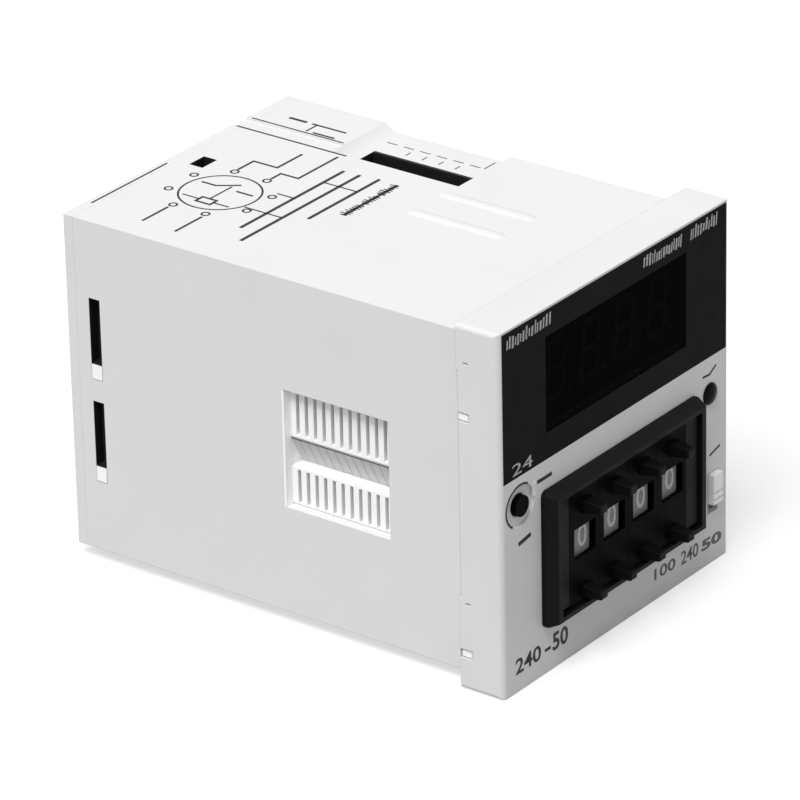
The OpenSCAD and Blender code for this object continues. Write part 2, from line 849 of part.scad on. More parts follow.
// Prism up the height whose two front edges are bevelled
module bevel_prism(half, tall) {
    translate([0, 0, -tall / 2]) linear_extrude(height = tall)
        polygon([[-half, 0], [-half, frame_bevel - frame_proud], [frame_bevel - half, -frame_proud],
                 [half - frame_bevel, -frame_proud], [half, frame_bevel - frame_proud], [half, 0]]);
}

// End plate: closes the row of housings and hooks behind the front plate
ear_x = 1.5;
ear_y = 1.2;
ear_span = [-1.4, 4];
module end_plate(side) {
    placed() translate([0, 0, wheel_z]) mirror([side > 0 ? 0 : 1, 0, 0]) difference() {
        union() {
            block([unit_half + seat, face_y, -housing_half], [end_half, housing_back, housing_half]);
            block([end_half - seat, plate_t + seat, ear_span[0]], [end_half + ear_x, plate_t + seat + ear_y, ear_span[1]]);
        }
        rod_x(unit_half - cut, axis_y, 0, spindle_r + 0.02, cut + end_t - 0.7);
        for (z = [-rod_z, rod_z]) rod_x(unit_half - cut, rod_y, z, rod_r + 0.02, end_t + 2 * cut);
    }
}

module end_plate_left() {
    color([0.07, 0.07, 0.07]) end_plate(-1);
}

module end_plate_right() {
    color([0.07, 0.07, 0.07]) end_plate(1);
}

module wheel_spindle() {
    half = unit_half + end_t - 0.8;
    color([0.78, 0.78, 0.80]) placed() rod_x(-half, axis_y, wheel_z, spindle_r, 2 * half);
}

// Two rods with flat heads that clamp the row together
module tie_rods() {
    color([0.78, 0.78, 0.80]) placed() for (z = [-rod_z, rod_z]) {
        rod_x(-end_half - 0.45, rod_y, wheel_z + z, rod_r, 2 * end_half + 0.9);
        for (x = [-end_half - 0.5, end_half]) rod_x(x, rod_y, wheel_z + z, 1.7 * rod_r, 0.5);
    }
}

function wheel_x(i) = (i - (wheels + 1) / 2) * wheel_pitch;

// Housing of one wheel, open on its right side
module wheel_housing(i) {
    half = housing_w / 2;
    color([0.06, 0.06, 0.06]) placed() translate([wheel_x(i), 0, wheel_z]) difference() {
        block([-half, face_y, -housing_half], [half, housing_back, housing_half]);
        rod_x(cavity_left, axis_y, 0, cavity_r, wheel_pitch);
        block([-sight_w / 2, face_y - cut, -sight_h / 2], [sight_w / 2, axis_y, sight_h / 2]);
        for (side = [-1, 1]) button_guide(side * button_z);
        block([contact_left - 0.02, contact_y - 0.02, -contact_half - 0.02], [half + cut, housing_back + cut, contact_half + 0.02]);
        rod_x(-half - cut, axis_y, 0, spindle_r + 0.02, wheel_pitch);
        for (z = [-rod_z, rod_z]) rod_x(-half - cut, rod_y, z, rod_r + 0.02, 2 * wheel_pitch);
    }
}

// Guide for a button's cap, and the wider chamber that its foot moves in
module button_guide(z) {
    wide = button_w / 2 + fit;
    tall = button_h / 2 + fit;
    foot_room = foot_t + button_travel + 0.3;
    block([-wide, face_y - cut, z - tall], [wide, face_y + lip_t + cut, z + tall]);
    block([-wide - foot_out, face_y + lip_t, z - tall], [wide + foot_out, face_y + lip_t + foot_room, z + tall]);
}

module wheel_housing_1() { wheel_housing(1); }
module wheel_housing_2() { wheel_housing(2); }
module wheel_housing_3() { wheel_housing(3); }
module wheel_housing_4() { wheel_housing(4); }

// Digit wheel: ten flats, a toothed ring beside them and a bore for the spindle
module digit_wheel(i) {
    color([0.75, 0.75, 0.74]) placed() translate([wheel_x(i), axis_y, wheel_z]) rotate([0, 90, 0]) difference() {
        union() {
            translate([0, 0, cavity_left + fit]) cylinder(r = wheel_tip, h = rim_right - cavity_left - fit, $fn = 10);
            translate([0, 0, rim_right - seat]) linear_extrude(height = contact_left - rim_right - fit) ratchet_ring();
        }
        translate([0, 0, -wheel_pitch]) cylinder(r = spindle_r + run_fit, h = 2 * wheel_pitch);
        translate([0, 0, rim_right - 0.9]) difference() {
            cylinder(r = wheel_flat - 1, h = wheel_pitch);
            translate([0, 0, -cut]) cylinder(r = ratchet_root + 0.6, h = 2 * wheel_pitch);
        }
    }
}

ratchet_root = 3.2;
ratchet_tip = 4.2;
module ratchet_ring() {
    polygon([for (k = [0:9], edge = [0, 1])
        let (a = 36 * k + (edge ? 1 : 0), r = edge ? ratchet_tip : ratchet_root) [r * cos(a), r * sin(a)]]);
}

module digit_wheel_1() { digit_wheel(1); }
module digit_wheel_2() { digit_wheel(2); }
module digit_wheel_3() { digit_wheel(3); }
module digit_wheel_4() { digit_wheel(4); }

// Setting button: tapered cap, straight shank and a foot that keeps it in
cap_taper = 0.5;
module setting_button(i, side) {
    half_w = button_w / 2;
    half_h = button_h / 2;
    tip = face_y - button_proud;
    root = face_y + lip_t + seat;
    color([0.09, 0.09, 0.09]) placed() translate([wheel_x(i), 0, wheel_z + side * button_z]) {
        intersection() {
            block([-half_w, tip, -half_h], [half_w, root + foot_t, half_h]);
            cap_profile(half_w, button_h, tip, root);
            rotate([0, 90, 0]) cap_profile(half_h, button_w, tip, root);
        }
        block([-half_w - foot_out, root, -half_h], [half_w + foot_out, root + foot_t, half_h]);
    }
}

// Trapezoid that narrows towards the tip of a cap
module cap_profile(half, tall, tip, root) {
    straight = face_y - 0.6;
    translate([0, 0, -tall]) linear_extrude(height = 2 * tall)
        polygon([[-half + cap_taper, tip], [half - cap_taper, tip], [half, straight],
                 [half, root + foot_t], [-half, root + foot_t], [-half, straight]]);
}

module plus_button_1() { setting_button(1, 1); }
module plus_button_2() { setting_button(2, 1); }
module plus_button_3() { setting_button(3, 1); }
module plus_button_4() { setting_button(4, 1); }
module minus_button_1() { setting_button(1, -1); }
module minus_button_2() { setting_button(2, -1); }
module minus_button_3() { setting_button(3, -1); }
module minus_button_4() { setting_button(4, -1); }

// Contact board that closes a housing's open side
module contact_board(i) {
    color([0.55, 0.42, 0.16]) placed() translate([wheel_x(i) + contact_left, 0, wheel_z]) difference() {
        block([0, contact_y, -contact_half], [board_t, contact_back, contact_half]);
        rod_x(-cut, axis_y, 0, spindle_r + 0.3, board_t + 2 * cut);
        for (z = [-rod_z, rod_z]) {
            rod_x(-cut, rod_y, z, rod_r + seat, board_t + 2 * cut);
            block([-cut, rod_y - rod_r - seat, z > 0 ? z : z - cut],
                  [board_t + cut, rod_y + rod_r + seat, z > 0 ? z + cut : z]);
        }
    }
}

module contact_board_1() { contact_board(1); }
module contact_board_2() { contact_board(2); }
module contact_board_3() { contact_board(3); }
module contact_board_4() { contact_board(4); }

// Board across the backs of the four contact boards
module thumbwheel_board() {
    color([0.10, 0.35, 0.20]) placed()
        block([-end_half, contact_back, wheel_z - contact_half], [end_half, contact_back + circuit_t, wheel_z + contact_half]);
}

// Side boards, held in the case's rails
module side_board(side) {
    edge = inner_half - 0.15;
    placed() translate([side * side_x, 0, 0]) mirror([side > 0 ? 0 : 1, 0, 0])
        block([0, side_y, -edge], [side_t, tail_board_y - seat, edge]);
}

module main_board() {
    color([0.10, 0.35, 0.20]) side_board(-1);
}

// The power board has a notch under the pocket's pad
module power_board() {
    color([0.10, 0.35, 0.20]) difference() {
        side_board(1);
        placed() block([side_x - cut, pocket_y - pad_edge - fit, case_half - pocket_d - wall - 0.15],
                       [side_x + side_t + cut, pocket_y + pocket_len + ramp_len + pad_edge + fit, case_half]);
    }
}

// Board that the pins' tails are soldered into
module pin_board() {
    half = inner_half - 0.3;
    color([0.10, 0.35, 0.20]) placed() difference() {
        slab(tail_board_y, side_t) square(2 * half, center = true);
        for (i = [0:7]) pin_place(i) rod_y(0, tail_board_y - cut, 0, tail_r + 0.02, side_t + 2 * cut);
    }
}

// Headers that join the front board to the two side boards
header_t = 2.5;
header_len = 12;
header_high = inner_half - 3.9;
header_low = header_high - header_len;
header_over = 4;
module board_headers() {
    color([0.08, 0.08, 0.08]) placed() for (side = [-1, 1])
        mirror([side > 0 ? 0 : 1, 0, 0])
            block([side_x - header_t, front_board_back, header_low], [side_x, side_y + header_over, header_high]);
}

// Controller: flat body with a row of leads on each side
chip_w = 10;
chip_mid_y = 38;
chip_mid_z = 5;
chip_t = 1.5;
lead_pitch = 1;
module controller_chip() {
    leads = floor(chip_w / lead_pitch) - 1;
    color([0.10, 0.10, 0.11]) placed() translate([-side_x, chip_mid_y, chip_mid_z]) {
        translate([0.15, -chip_w / 2, -chip_w / 2]) cube([chip_t, chip_w, chip_w]);
        for (turn = [0, 90, 180, 270], i = [0:leads - 1]) rotate([turn, 0, 0])
            translate([0, (i - (leads - 1) / 2) * lead_pitch - 0.2, chip_w / 2 - 0.5]) cube([0.35, 0.4, 1.7]);
    }
}

// Relay: sealed box with a rounded foot
relay_size = [10.2, 14.5, 12];
relay_foot = 1.8;
module relay() {
    low = [side_x - relay_size[0], side_y + 1.2, relay_foot - inner_half];
    color([0.92, 0.92, 0.90]) placed() difference() {
        block(low, low + relay_size);
        block([low[0] - cut, low[1] - cut, low[2] - cut], [low[0] + 0.6, low[1] + 0.6, low[2] + relay_size[2] + cut]);
    }
}

// Transformer: laminated core, bobbin with two flanges and its winding
limb_w = 3.5;
core_stack = 6.5;
winding_t = 3.2;
core_mid_y = tail_board_y - 1 - 3 * limb_w;
core_mid_z = switch_top - switch_h - 0.45 - 2.5 * limb_w;
core_x = side_x - core_stack / 2 - winding_t - 0.05;
module core_window(side) {
    translate([side * 1.5 * limb_w, 0]) square([limb_w, 3 * limb_w], center = true);
}

module transformer_core() {
    color([0.45, 0.45, 0.47]) placed() translate([core_x - core_stack / 2, core_mid_y, core_mid_z])
        side_slab(0, core_stack) difference() {
            square([6 * limb_w, 5 * limb_w], center = true);
            for (side = [-1, 1]) core_window(side);
        }
}

// Ring round the core's middle limb, between two sizes
module limb_ring(inner, outer, tall) {
    difference() {
        cube([core_stack + 2 * outer, 2 * limb_w + 2 * outer, tall], center = true);
        cube([core_stack + 2 * inner, 2 * limb_w + 2 * inner, tall + cut], center = true);
    }
}

bobbin_t = 0.6;
module transformer_bobbin() {
    tall = 3 * limb_w - 0.1;
    color([0.88, 0.86, 0.78]) placed() translate([core_x, core_mid_y, core_mid_z]) {
        limb_ring(0.03, bobbin_t, tall);
        for (end = [-1, 1]) translate([0, 0, end * (tall - bobbin_t) / 2]) limb_ring(0.03, winding_t, bobbin_t);
    }
}

module transformer_winding() {
    tall = 3 * limb_w - 0.1 - 2 * bobbin_t - 0.1;
    color([0.72, 0.40, 0.18]) placed() translate([core_x, core_mid_y, core_mid_z])
        limb_ring(bobbin_t + 0.03, winding_t - 0.2, tall);
}

// Two electrolytic cans, standing on the power board
can_r = [5, 3.15];
can_len = [12.5, 11];
can_gap = [4.3, 2.35];
can_y = [tail_board_y - can_gap[0] - can_r[0], side_y + can_gap[1] + can_r[1]];
can_lift = [2.4, 2];
can_z = [can_lift[0] + can_r[0] - inner_half, relay_foot + relay_size[2] + can_lift[1] + can_r[1] - inner_half];
can_foot = 1;
module filter_capacitors() {
    color([0.16, 0.20, 0.36]) placed() for (i = [0, 1]) {
        rod_x(side_x - can_len[i], can_y[i], can_z[i], can_r[i], can_len[i] - 0.9 * can_foot);
        rod_x(side_x - can_foot, can_y[i], can_z[i], can_r[i] - 0.35, can_foot);
    }
}

// Range switch under the top slot, with a well for each lever
well_d = 1.3;
lever_half_w = 0.7;
lever_half_d = 0.5;
lever_rise = 0.7;
module range_switch() {
    color([0.08, 0.08, 0.09]) placed() difference() {
        block([switch_left, switch_mid - switch_len / 2, switch_top - switch_h],
              [side_x, switch_mid + switch_len / 2, switch_top]);
        for (i = [1:4])
            block([lever_x - lever_half_w - fit, lever_y(i) - lever_half_d - fit, switch_top - well_d],
                  [lever_x + lever_half_w + lever_travel + fit, lever_y(i) + lever_half_d + fit, switch_top + cut]);
    }
}

function lever_y(i) = switch_mid + (i - 2.5) * lever_pitch;

module range_lever(i) {
    color([0.12, 0.12, 0.12]) placed()
        block([lever_x - lever_half_w, lever_y(i) - lever_half_d, switch_top - well_d + seat],
              [lever_x + lever_half_w, lever_y(i) + lever_half_d, switch_top + lever_rise]);
}

module range_lever_1() { range_lever(1); }
module range_lever_2() { range_lever(2); }
module range_lever_3() { range_lever(3); }
module range_lever_4() { range_lever(4); }

case();
front_bezel();
rear_cover();
vent_grille_left();
vent_grille_right();
window_panel();
display_filter();
display_housing();
digit_segments();
display_board();
board_screws();
reset_button();
reset_switch();
indicator_lens();
indicator_lamp();
lock_slider();
lock_switch();
thumbwheel_bezel();
end_plate_left();
end_plate_right();
wheel_spindle();
tie_rods();
wheel_housing_1();
wheel_housing_2();
wheel_housing_3();
wheel_housing_4();
digit_wheel_1();
digit_wheel_2();
digit_wheel_3();
digit_wheel_4();
plus_button_1();
plus_button_2();
plus_button_3();
plus_button_4();
minus_button_1();
minus_button_2();
minus_button_3();
minus_button_4();
contact_board_1();
contact_board_2();
contact_board_3();
contact_board_4();
thumbwheel_board();
main_board();
power_board();
pin_board();
board_headers();
controller_chip();
relay();
transformer_core();
transformer_bobbin();
transformer_winding();
filter_capacitors();
plug_pins();
range_switch();
range_lever_1();
range_lever_2();
range_lever_3();
range_lever_4();
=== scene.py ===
"""Looks of a plug-in digital timer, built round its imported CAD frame.

The frame holds every moulded and fitted part. This script gives each part its finish and adds the
print on the window, the front and the top. The thumbwheels' frame, housings, pegs and drums and the
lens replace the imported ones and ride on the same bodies. Sizes are in millimetres. Faces come from
the frame.
"""

import itertools
import math
import random

import bmesh
import bpy
from mathutils import Matrix, Vector


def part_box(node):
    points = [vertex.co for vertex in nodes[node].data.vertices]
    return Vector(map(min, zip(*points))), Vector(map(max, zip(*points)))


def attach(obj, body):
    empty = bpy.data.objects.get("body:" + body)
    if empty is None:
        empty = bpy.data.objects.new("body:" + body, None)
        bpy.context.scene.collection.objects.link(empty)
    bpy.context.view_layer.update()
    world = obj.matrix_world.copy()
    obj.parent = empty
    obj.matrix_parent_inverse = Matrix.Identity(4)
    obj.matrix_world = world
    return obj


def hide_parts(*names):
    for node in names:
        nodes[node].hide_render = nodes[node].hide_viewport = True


MM = 0.001
WHEELS = 4
LEVERS = 4
FLATS = 10
ROOT = "timer_unit"

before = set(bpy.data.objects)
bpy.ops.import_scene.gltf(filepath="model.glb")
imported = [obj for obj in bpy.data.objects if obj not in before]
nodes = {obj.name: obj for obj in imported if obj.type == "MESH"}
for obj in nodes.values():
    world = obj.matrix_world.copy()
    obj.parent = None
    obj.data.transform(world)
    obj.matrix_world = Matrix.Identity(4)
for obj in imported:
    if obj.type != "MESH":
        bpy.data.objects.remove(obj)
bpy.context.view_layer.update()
scene = bpy.context.scene

# Faces that carry print, in millimetres
FRONT_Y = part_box("front_bezel")[0].y / MM
WINDOW_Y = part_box("window_panel")[0].y / MM
TOP_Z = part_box("rear_cover")[1].z / MM
FLOOR_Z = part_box("front_bezel")[0].z / MM - 0.05

# The pocket's floor lies this far below the top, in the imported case
POCKET_DEPTH = 1.0

# How far print stands out of its face and reaches into it
INK_RISE = 0.02
INK_SINK = 0.03


# Camera

AZIMUTH = math.radians(-52.759)
ELEVATION = math.radians(25.556)
ROLL = math.radians(-1.282)
DISTANCE = 752.64
FOCAL = 269.935
TARGET = Vector((9.672, -26.5, -8.295))


def add_camera():
    """A long lens, fitted to the corners of the front frame and the case."""
    back = Vector((math.sin(AZIMUTH) * math.cos(ELEVATION),
                   -math.cos(AZIMUTH) * math.cos(ELEVATION),
                   math.sin(ELEVATION)))
    right = Vector((math.cos(AZIMUTH), math.sin(AZIMUTH), 0))
    up = back.cross(right)
    axis_x = math.cos(ROLL) * right + math.sin(ROLL) * up
    axis_y = math.cos(ROLL) * up - math.sin(ROLL) * right
    data = bpy.data.cameras.new("camera")
    data.lens = FOCAL
    data.sensor_width = 36
    data.clip_start = 0.05
    data.clip_end = 50
    camera = bpy.data.objects.new("camera", data)
    turn = Matrix((axis_x, axis_y, back)).transposed().to_4x4()
    camera.matrix_world = Matrix.Translation((TARGET + DISTANCE * back) * MM) @ turn
    scene.collection.objects.link(camera)
    scene.camera = camera


# Materials

class Shader:
    """A node material with short calls for the nodes that the finishes share."""

    def __init__(self, name):
        self.material = bpy.data.materials.new(name)
        self.material.use_nodes = True
        self.tree = self.material.node_tree
        self.tree.nodes.clear()
        self.surface = self.add("ShaderNodeBsdfPrincipled")
        output = self.add("ShaderNodeOutputMaterial")
        self.link(self.surface.outputs["BSDF"], output.inputs["Surface"])
        self.place = self.add("ShaderNodeTexCoord").outputs["Object"]

    def add(self, kind, **values):
        node = self.tree.nodes.new(kind)
        for key, value in values.items():
            setattr(node, key, value)
        return node

    def link(self, source, target):
        self.tree.links.new(source, target)

    def noise(self, size_mm, detail=2.0, stretch=None):
        """Noise whose features are about size_mm across."""
        place = self.place
        if stretch:
            mapping = self.add("ShaderNodeMapping")
            mapping.inputs["Scale"].default_value = stretch
            self.link(place, mapping.inputs["Vector"])
            place = mapping.outputs["Vector"]
        node = self.add("ShaderNodeTexNoise")
        node.inputs["Scale"].default_value = 1 / (size_mm * MM)
        node.inputs["Detail"].default_value = detail
        self.link(place, node.inputs["Vector"])
        return node.outputs["Fac"]

    def span(self, source, low, high, start=0.3, end=0.7):
        """Maps source from start..end to low..high."""
        node = self.add("ShaderNodeMapRange")
        for key, value in (("From Min", start), ("From Max", end), ("To Min", low), ("To Max", high)):
            node.inputs[key].default_value = value
        self.link(source, node.inputs["Value"])
        return node.outputs["Result"]

    def blend(self, factor, first, second):
        """Mixes two colours, each a colour or a socket."""
        node = self.add("ShaderNodeMix", data_type="RGBA")
        self.link(factor, node.inputs["Factor"])
        for socket, value in ((node.inputs[6], first), (node.inputs[7], second)):
            if isinstance(value, tuple):
                socket.default_value = (*value, 1)
            else:
                self.link(value, socket)
        return node.outputs[2]

    def rounding(self, radius_mm):
        """A normal that rounds the edges off in shading."""
        node = self.add("ShaderNodeBevel", samples=6)
        node.inputs["Radius"].default_value = radius_mm * MM
        return node.outputs["Normal"]

    def edges(self, radius_mm):
        """A mask that is 1 on edges, out to about radius_mm from them."""
        dot = self.add("ShaderNodeVectorMath", operation="DOT_PRODUCT")
        flat = self.add("ShaderNodeNewGeometry").outputs["Normal"]
        self.link(self.rounding(radius_mm), dot.inputs[0])
        self.link(flat, dot.inputs[1])
        return self.span(dot.outputs["Value"], 1, 0, 0.75, 0.99)

    def bump(self, height, depth_mm, normal=None):
        node = self.add("ShaderNodeBump")
        node.inputs["Strength"].default_value = 1.0
        node.inputs["Distance"].default_value = depth_mm * MM
        self.link(height, node.inputs["Height"])
        if normal:
            self.link(normal, node.inputs["Normal"])
        return node.outputs["Normal"]


def shade(colour, factor):
    """The colour made lighter or darker."""
    return tuple(min(1.0, c * factor) for c in colour)


def moulded(name, colour, roughness=0.5, specular=0.4, tone=0.03, grain=0.3, grain_mm=0.006,
            wear=1.06, wear_mm=0.25, rounding_mm=0.12, alpha=1.0):
    """Moulded plastic: cloudy tone, fine spark grain, softened and slightly rubbed edges."""
    s = Shader(name)
    cloud = s.span(s.noise(11, 3), 0, 1)
    body = s.blend(cloud, shade(colour, 1 - tone), shade(colour, 1 + tone))
    rubbed = s.blend(s.edges(wear_mm), body, shade(colour, wear))
    s.link(rubbed, s.surface.inputs["Base Color"])
    s.link(s.span(s.noise(2.5, 4), roughness - 0.06, roughness + 0.06), s.surface.inputs["Roughness"])
    s.link(s.bump(s.noise(grain, 2), grain_mm, normal=s.rounding(rounding_mm)), s.surface.inputs["Normal"])
    s.surface.inputs["Specular IOR Level"].default_value = specular
    s.surface.inputs["Alpha"].default_value = alpha
    return s.material


def plated(name, colour, roughness=0.3, stretch=(1, 1, 1), tone=0.08, rounding_mm=0.08):
    """Plated metal with drawn streaks along one axis."""
    s = Shader(name)
    streak = s.noise(0.5, 3, stretch)
    body = s.blend(s.span(s.noise(4, 2), 0, 1), shade(colour, 1 - tone), shade(colour, 1 + tone))
    s.link(body, s.surface.inputs["Base Color"])
    s.surface.inputs["Metallic"].default_value = 1.0
    s.link(s.span(streak, roughness - 0.08, roughness + 0.12), s.surface.inputs["Roughness"])
    s.link(s.bump(streak, 0.004, normal=s.rounding(rounding_mm)), s.surface.inputs["Normal"])
    return s.material


def banded(name, first, second, pitch_mm, axis, metallic=0.0, roughness=0.4, depth_mm=0.05):
    """Even bands across one axis: stacked laminations or wound wire."""
    s = Shader(name)
    wave = s.add("ShaderNodeTexWave", wave_type="BANDS", bands_direction=axis)
    wave.inputs["Scale"].default_value = math.pi / (10 * pitch_mm * MM)
    wave.inputs["Distortion"].default_value = 0.4
    s.link(s.place, wave.inputs["Vector"])
    band = wave.outputs["Fac"]
    s.link(s.blend(band, first, second), s.surface.inputs["Base Color"])
    s.surface.inputs["Metallic"].default_value = metallic
    s.link(s.span(s.noise(1.5, 3), roughness - 0.08, roughness + 0.08), s.surface.inputs["Roughness"])
    s.link(s.bump(band, depth_mm), s.surface.inputs["Normal"])
    return s.material


def laminate(name, colour, track):
    """Circuit board: lacquered laminate with a faint pattern of tracks under the lacquer."""
    s = Shader(name)
    cells = s.add("ShaderNodeTexVoronoi", feature="DISTANCE_TO_EDGE", distance="MANHATTAN")
    cells.inputs["Scale"].default_value = 1 / (2.2 * MM)
    cells.inputs["Randomness"].default_value = 0.6
    s.link(s.place, cells.inputs["Vector"])
    tracks = s.span(cells.outputs["Distance"], 1, 0, 0.1, 0.16)
    body = s.blend(s.span(s.noise(5, 3), 0, 1), shade(colour, 0.9), shade(colour, 1.1))
    s.link(s.blend(tracks, body, track), s.surface.inputs["Base Color"])
    s.link(s.span(s.noise(1.2, 2), 0.3, 0.42), s.surface.inputs["Roughness"])
    s.link(s.bump(tracks, 0.02), s.surface.inputs["Normal"])
    return s.material


CASE_GREY = (0.70, 0.70, 0.695)
FRONT_GREY = (0.69, 0.69, 0.685)
WHITE = (0.93, 0.93, 0.93)
DARK_INK = (0.02, 0.02, 0.022)
GREY_INK = (0.12, 0.12, 0.12)
PALE_INK = (0.45, 0.45, 0.45)
FIGURE_INK = (0.6, 0.6, 0.6)
WHITE_INK = (0.85, 0.85, 0.84)
BOARD_GREEN = (0.02, 0.13, 0.05)

FINISHES = {
    "case_plastic": moulded("case_plastic", CASE_GREY, roughness=0.55, specular=0.25, tone=0.012, wear=1.04),
    "front_plastic": moulded("front_plastic", FRONT_GREY, roughness=0.5, specular=0.25, tone=0.015,
                             wear=1.05, rounding_mm=0.2),
    "grille_plastic": moulded("grille_plastic", WHITE, roughness=0.5, specular=0.25, tone=0.01, wear=1.0,
                              rounding_mm=0.06),
    # Grey painted shade of the louvre's downward-facing slope, and darker grey painted shadow lines of the
    # gaps on it
    "louvre_painted_shade": moulded("louvre_painted_shade", (0.62, 0.62, 0.62), roughness=0.55, specular=0.2, tone=0.01,
                           wear=1.0),
    "louvre_shade_line": moulded("louvre_shade_line", (0.5, 0.5, 0.5), roughness=0.55, specular=0.2, tone=0.01,
                           wear=1.0),
    "window_black": moulded("window_black", (0.0085, 0.0085, 0.0085), roughness=0.5, specular=0.02, tone=0.08,
                            grain=0.15, grain_mm=0.002, wear=1.3),
    "filter_smoke": moulded("filter_smoke", (0.001, 0.001, 0.0012), roughness=0.2, specular=0.005, tone=0.05,
                            grain=0.8, grain_mm=0.0005, wear=1.0, alpha=0.8),
    "black_moulded": moulded("black_moulded", (0.0016, 0.0016, 0.0018), roughness=0.5, specular=0.02,
                             tone=0.1, wear=1.4),
    "segment_diffuser": moulded("segment_diffuser", (0.5, 0.49, 0.49), roughness=0.35, specular=0.3, tone=0.1,
                                wear=1.1),
    "circuit_board": laminate("circuit_board", BOARD_GREEN, (0.03, 0.2, 0.07)),
    "bright_steel": plated("bright_steel", (0.62, 0.62, 0.63), stretch=(0.1, 1, 1)),
    "switch_black": moulded("switch_black", (0.012, 0.012, 0.013), roughness=0.5, specular=0.15, wear=1.5),
    "lens_dark": moulded("lens_dark", (0.002, 0.002, 0.002), roughness=0.2, specular=0.05, grain=0.8,
                         grain_mm=0.001, wear=1.0),
    "lamp_clear": moulded("lamp_clear", (0.7, 0.68, 0.6), roughness=0.15, specular=0.5),
    "white_moulded": moulded("white_moulded", WHITE, roughness=0.42, specular=0.3, tone=0.015, wear=1.0),
    "black_frame": moulded("black_frame", (0.006, 0.006, 0.0066), roughness=0.45, specular=0.06, tone=0.12,
                           wear=1.6, wear_mm=0.2, rounding_mm=0.15),
    "wheel_plastic": moulded("wheel_plastic", (0.25, 0.25, 0.25), roughness=0.45, specular=0.2, tone=0.05,
                             wear=1.15),
    "button_black": moulded("button_black", (0.0036, 0.0036, 0.0039), roughness=0.4, specular=0.05, tone=0.2,
                            wear=1.6, rounding_mm=0.2),
    "contact_laminate": laminate("contact_laminate", (0.24, 0.15, 0.05), (0.55, 0.42, 0.2)),
    "relay_plastic": moulded("relay_plastic", (0.1, 0.2, 0.42), roughness=0.3, specular=0.4),
    "core_steel": banded("core_steel", (0.22, 0.22, 0.23), (0.4, 0.4, 0.41), 0.5, "X", 1.0, 0.4),
    "bobbin_plastic": moulded("bobbin_plastic", (0.8, 0.76, 0.64), roughness=0.45),
    "winding_copper": banded("winding_copper", (0.3, 0.1, 0.03), (0.62, 0.27, 0.1), 0.3, "Z", 0.7, 0.3),
    "capacitor_sleeve": moulded("capacitor_sleeve", (0.02, 0.03, 0.1), roughness=0.25, specular=0.5),
    "pin_metal": plated("pin_metal", (0.72, 0.62, 0.42), 0.25, stretch=(1, 0.1, 1)),
}


def dress_nodes():
    """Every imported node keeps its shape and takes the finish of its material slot."""
    for node in nodes.values():
        for slot in node.material_slots:
            slot.material = FINISHES[slot.material.name.split(".")[0]]


# Print

def ink(name, colour):
    """Screen-printed ink: satin, a little uneven at its edges and in its cover."""
    s = Shader(name)
    cover = s.span(s.noise(0.35, 3), 0, 1, 0.35, 0.65)
    s.link(s.blend(cover, shade(colour, 0.75), shade(colour, 1.15)), s.surface.inputs["Base Color"])
    s.link(s.span(s.noise(0.8, 2), 0.45, 0.6), s.surface.inputs["Roughness"])
    s.link(s.bump(cover, 0.004), s.surface.inputs["Normal"])
    s.surface.inputs["Specular IOR Level"].default_value = 0.2
    return s.material


class Face:
    """A flat face that print lies on: a point is (across, along) in millimetres."""

    def __init__(self, origin, across, along):
        self.origin = Vector(origin)
        self.across = Vector(across)
        self.along = Vector(along)
        self.out = self.across.cross(self.along)

    def at(self, point, lift):
        return (self.origin + self.across * point[0] + self.along * point[1] + self.out * lift) * MM


FRONT = Face((0, FRONT_Y, 0), (1, 0, 0), (0, 0, 1))
WINDOW = Face((0, WINDOW_Y, 0), (1, 0, 0), (0, 0, 1))
TOP = Face((0, FRONT_Y, TOP_Z), (1, 0, 0), (0, 1, 0))
POCKET = Face((0, FRONT_Y, TOP_Z - POCKET_DEPTH), (1, 0, 0), (0, 1, 0))


def add_plate(mesh, face, outline):
    """One flat patch of ink with a closed outline."""
    top = [mesh.verts.new(face.at(p, INK_RISE)) for p in outline]
    low = [mesh.verts.new(face.at(p, -INK_SINK)) for p in outline]
    mesh.faces.new(top)
    mesh.faces.new(reversed(low))
    for i in range(len(outline)):
        j = (i + 1) % len(outline)
        mesh.faces.new((top[j], top[i], low[i], low[j]))


def add_stroke(mesh, face, path, width):
    """A line of ink through the points of path, mitred at its corners and square at its ends."""
    points = [Vector(p) for p in path]
    closed = (points[0] - points[-1]).length < 1e-6
    if closed:
        points.pop()
    count = len(points)
    sides = []
    for i, p in enumerate(points):
        before = points[i - 1] if closed or i > 0 else p
        after = points[(i + 1) % count] if closed or i < count - 1 else p
        come = (p - before).normalized() if (p - before).length else (after - p).normalized()
        go = (after - p).normalized() if (after - p).length else come
        normal = Vector((-(come.y + go.y), come.x + go.x)).normalized()
        reach = width / 2 / max(0.5, normal.dot(Vector((-come.y, come.x))))
        sides.append((p + normal * reach, p - normal * reach))
    rings = []
    for left, right in sides:
        rings.append([mesh.verts.new(face.at(q, lift)) for q, lift in
                      ((left, INK_RISE), (right, INK_RISE), (right, -INK_SINK), (left, -INK_SINK))])
    links = count if closed else count - 1
    for i in range(links):
        a, b = rings[i], rings[(i + 1) % count]
        for k in range(4):
            mesh.faces.new((a[k], a[(k + 1) % 4], b[(k + 1) % 4], b[k]))
    if not closed:
        mesh.faces.new(reversed(rings[0]))
        mesh.faces.new(rings[-1])


def arc(centre, radius, start, end, steps=24):
    """Points of an arc, angles in degrees; radius is one number or (across, along)."""
    rx, ry = radius if isinstance(radius, tuple) else (radius, radius)
    turns = [math.radians(start + (end - start) * i / steps) for i in range(steps + 1)]
    return [(centre[0] + rx * math.cos(a), centre[1] + ry * math.sin(a)) for a in turns]


def add_piece(name, mesh, material, body=ROOT):
    """Turns a bmesh into a piece that rides on a body."""
    bmesh.ops.recalc_face_normals(mesh, faces=mesh.faces)
    data = bpy.data.meshes.new(name)
    mesh.to_mesh(data)
    mesh.free()
    data.materials.append(material)
    piece = bpy.data.objects.new(name, data)
    scene.collection.objects.link(piece)
    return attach(piece, body)


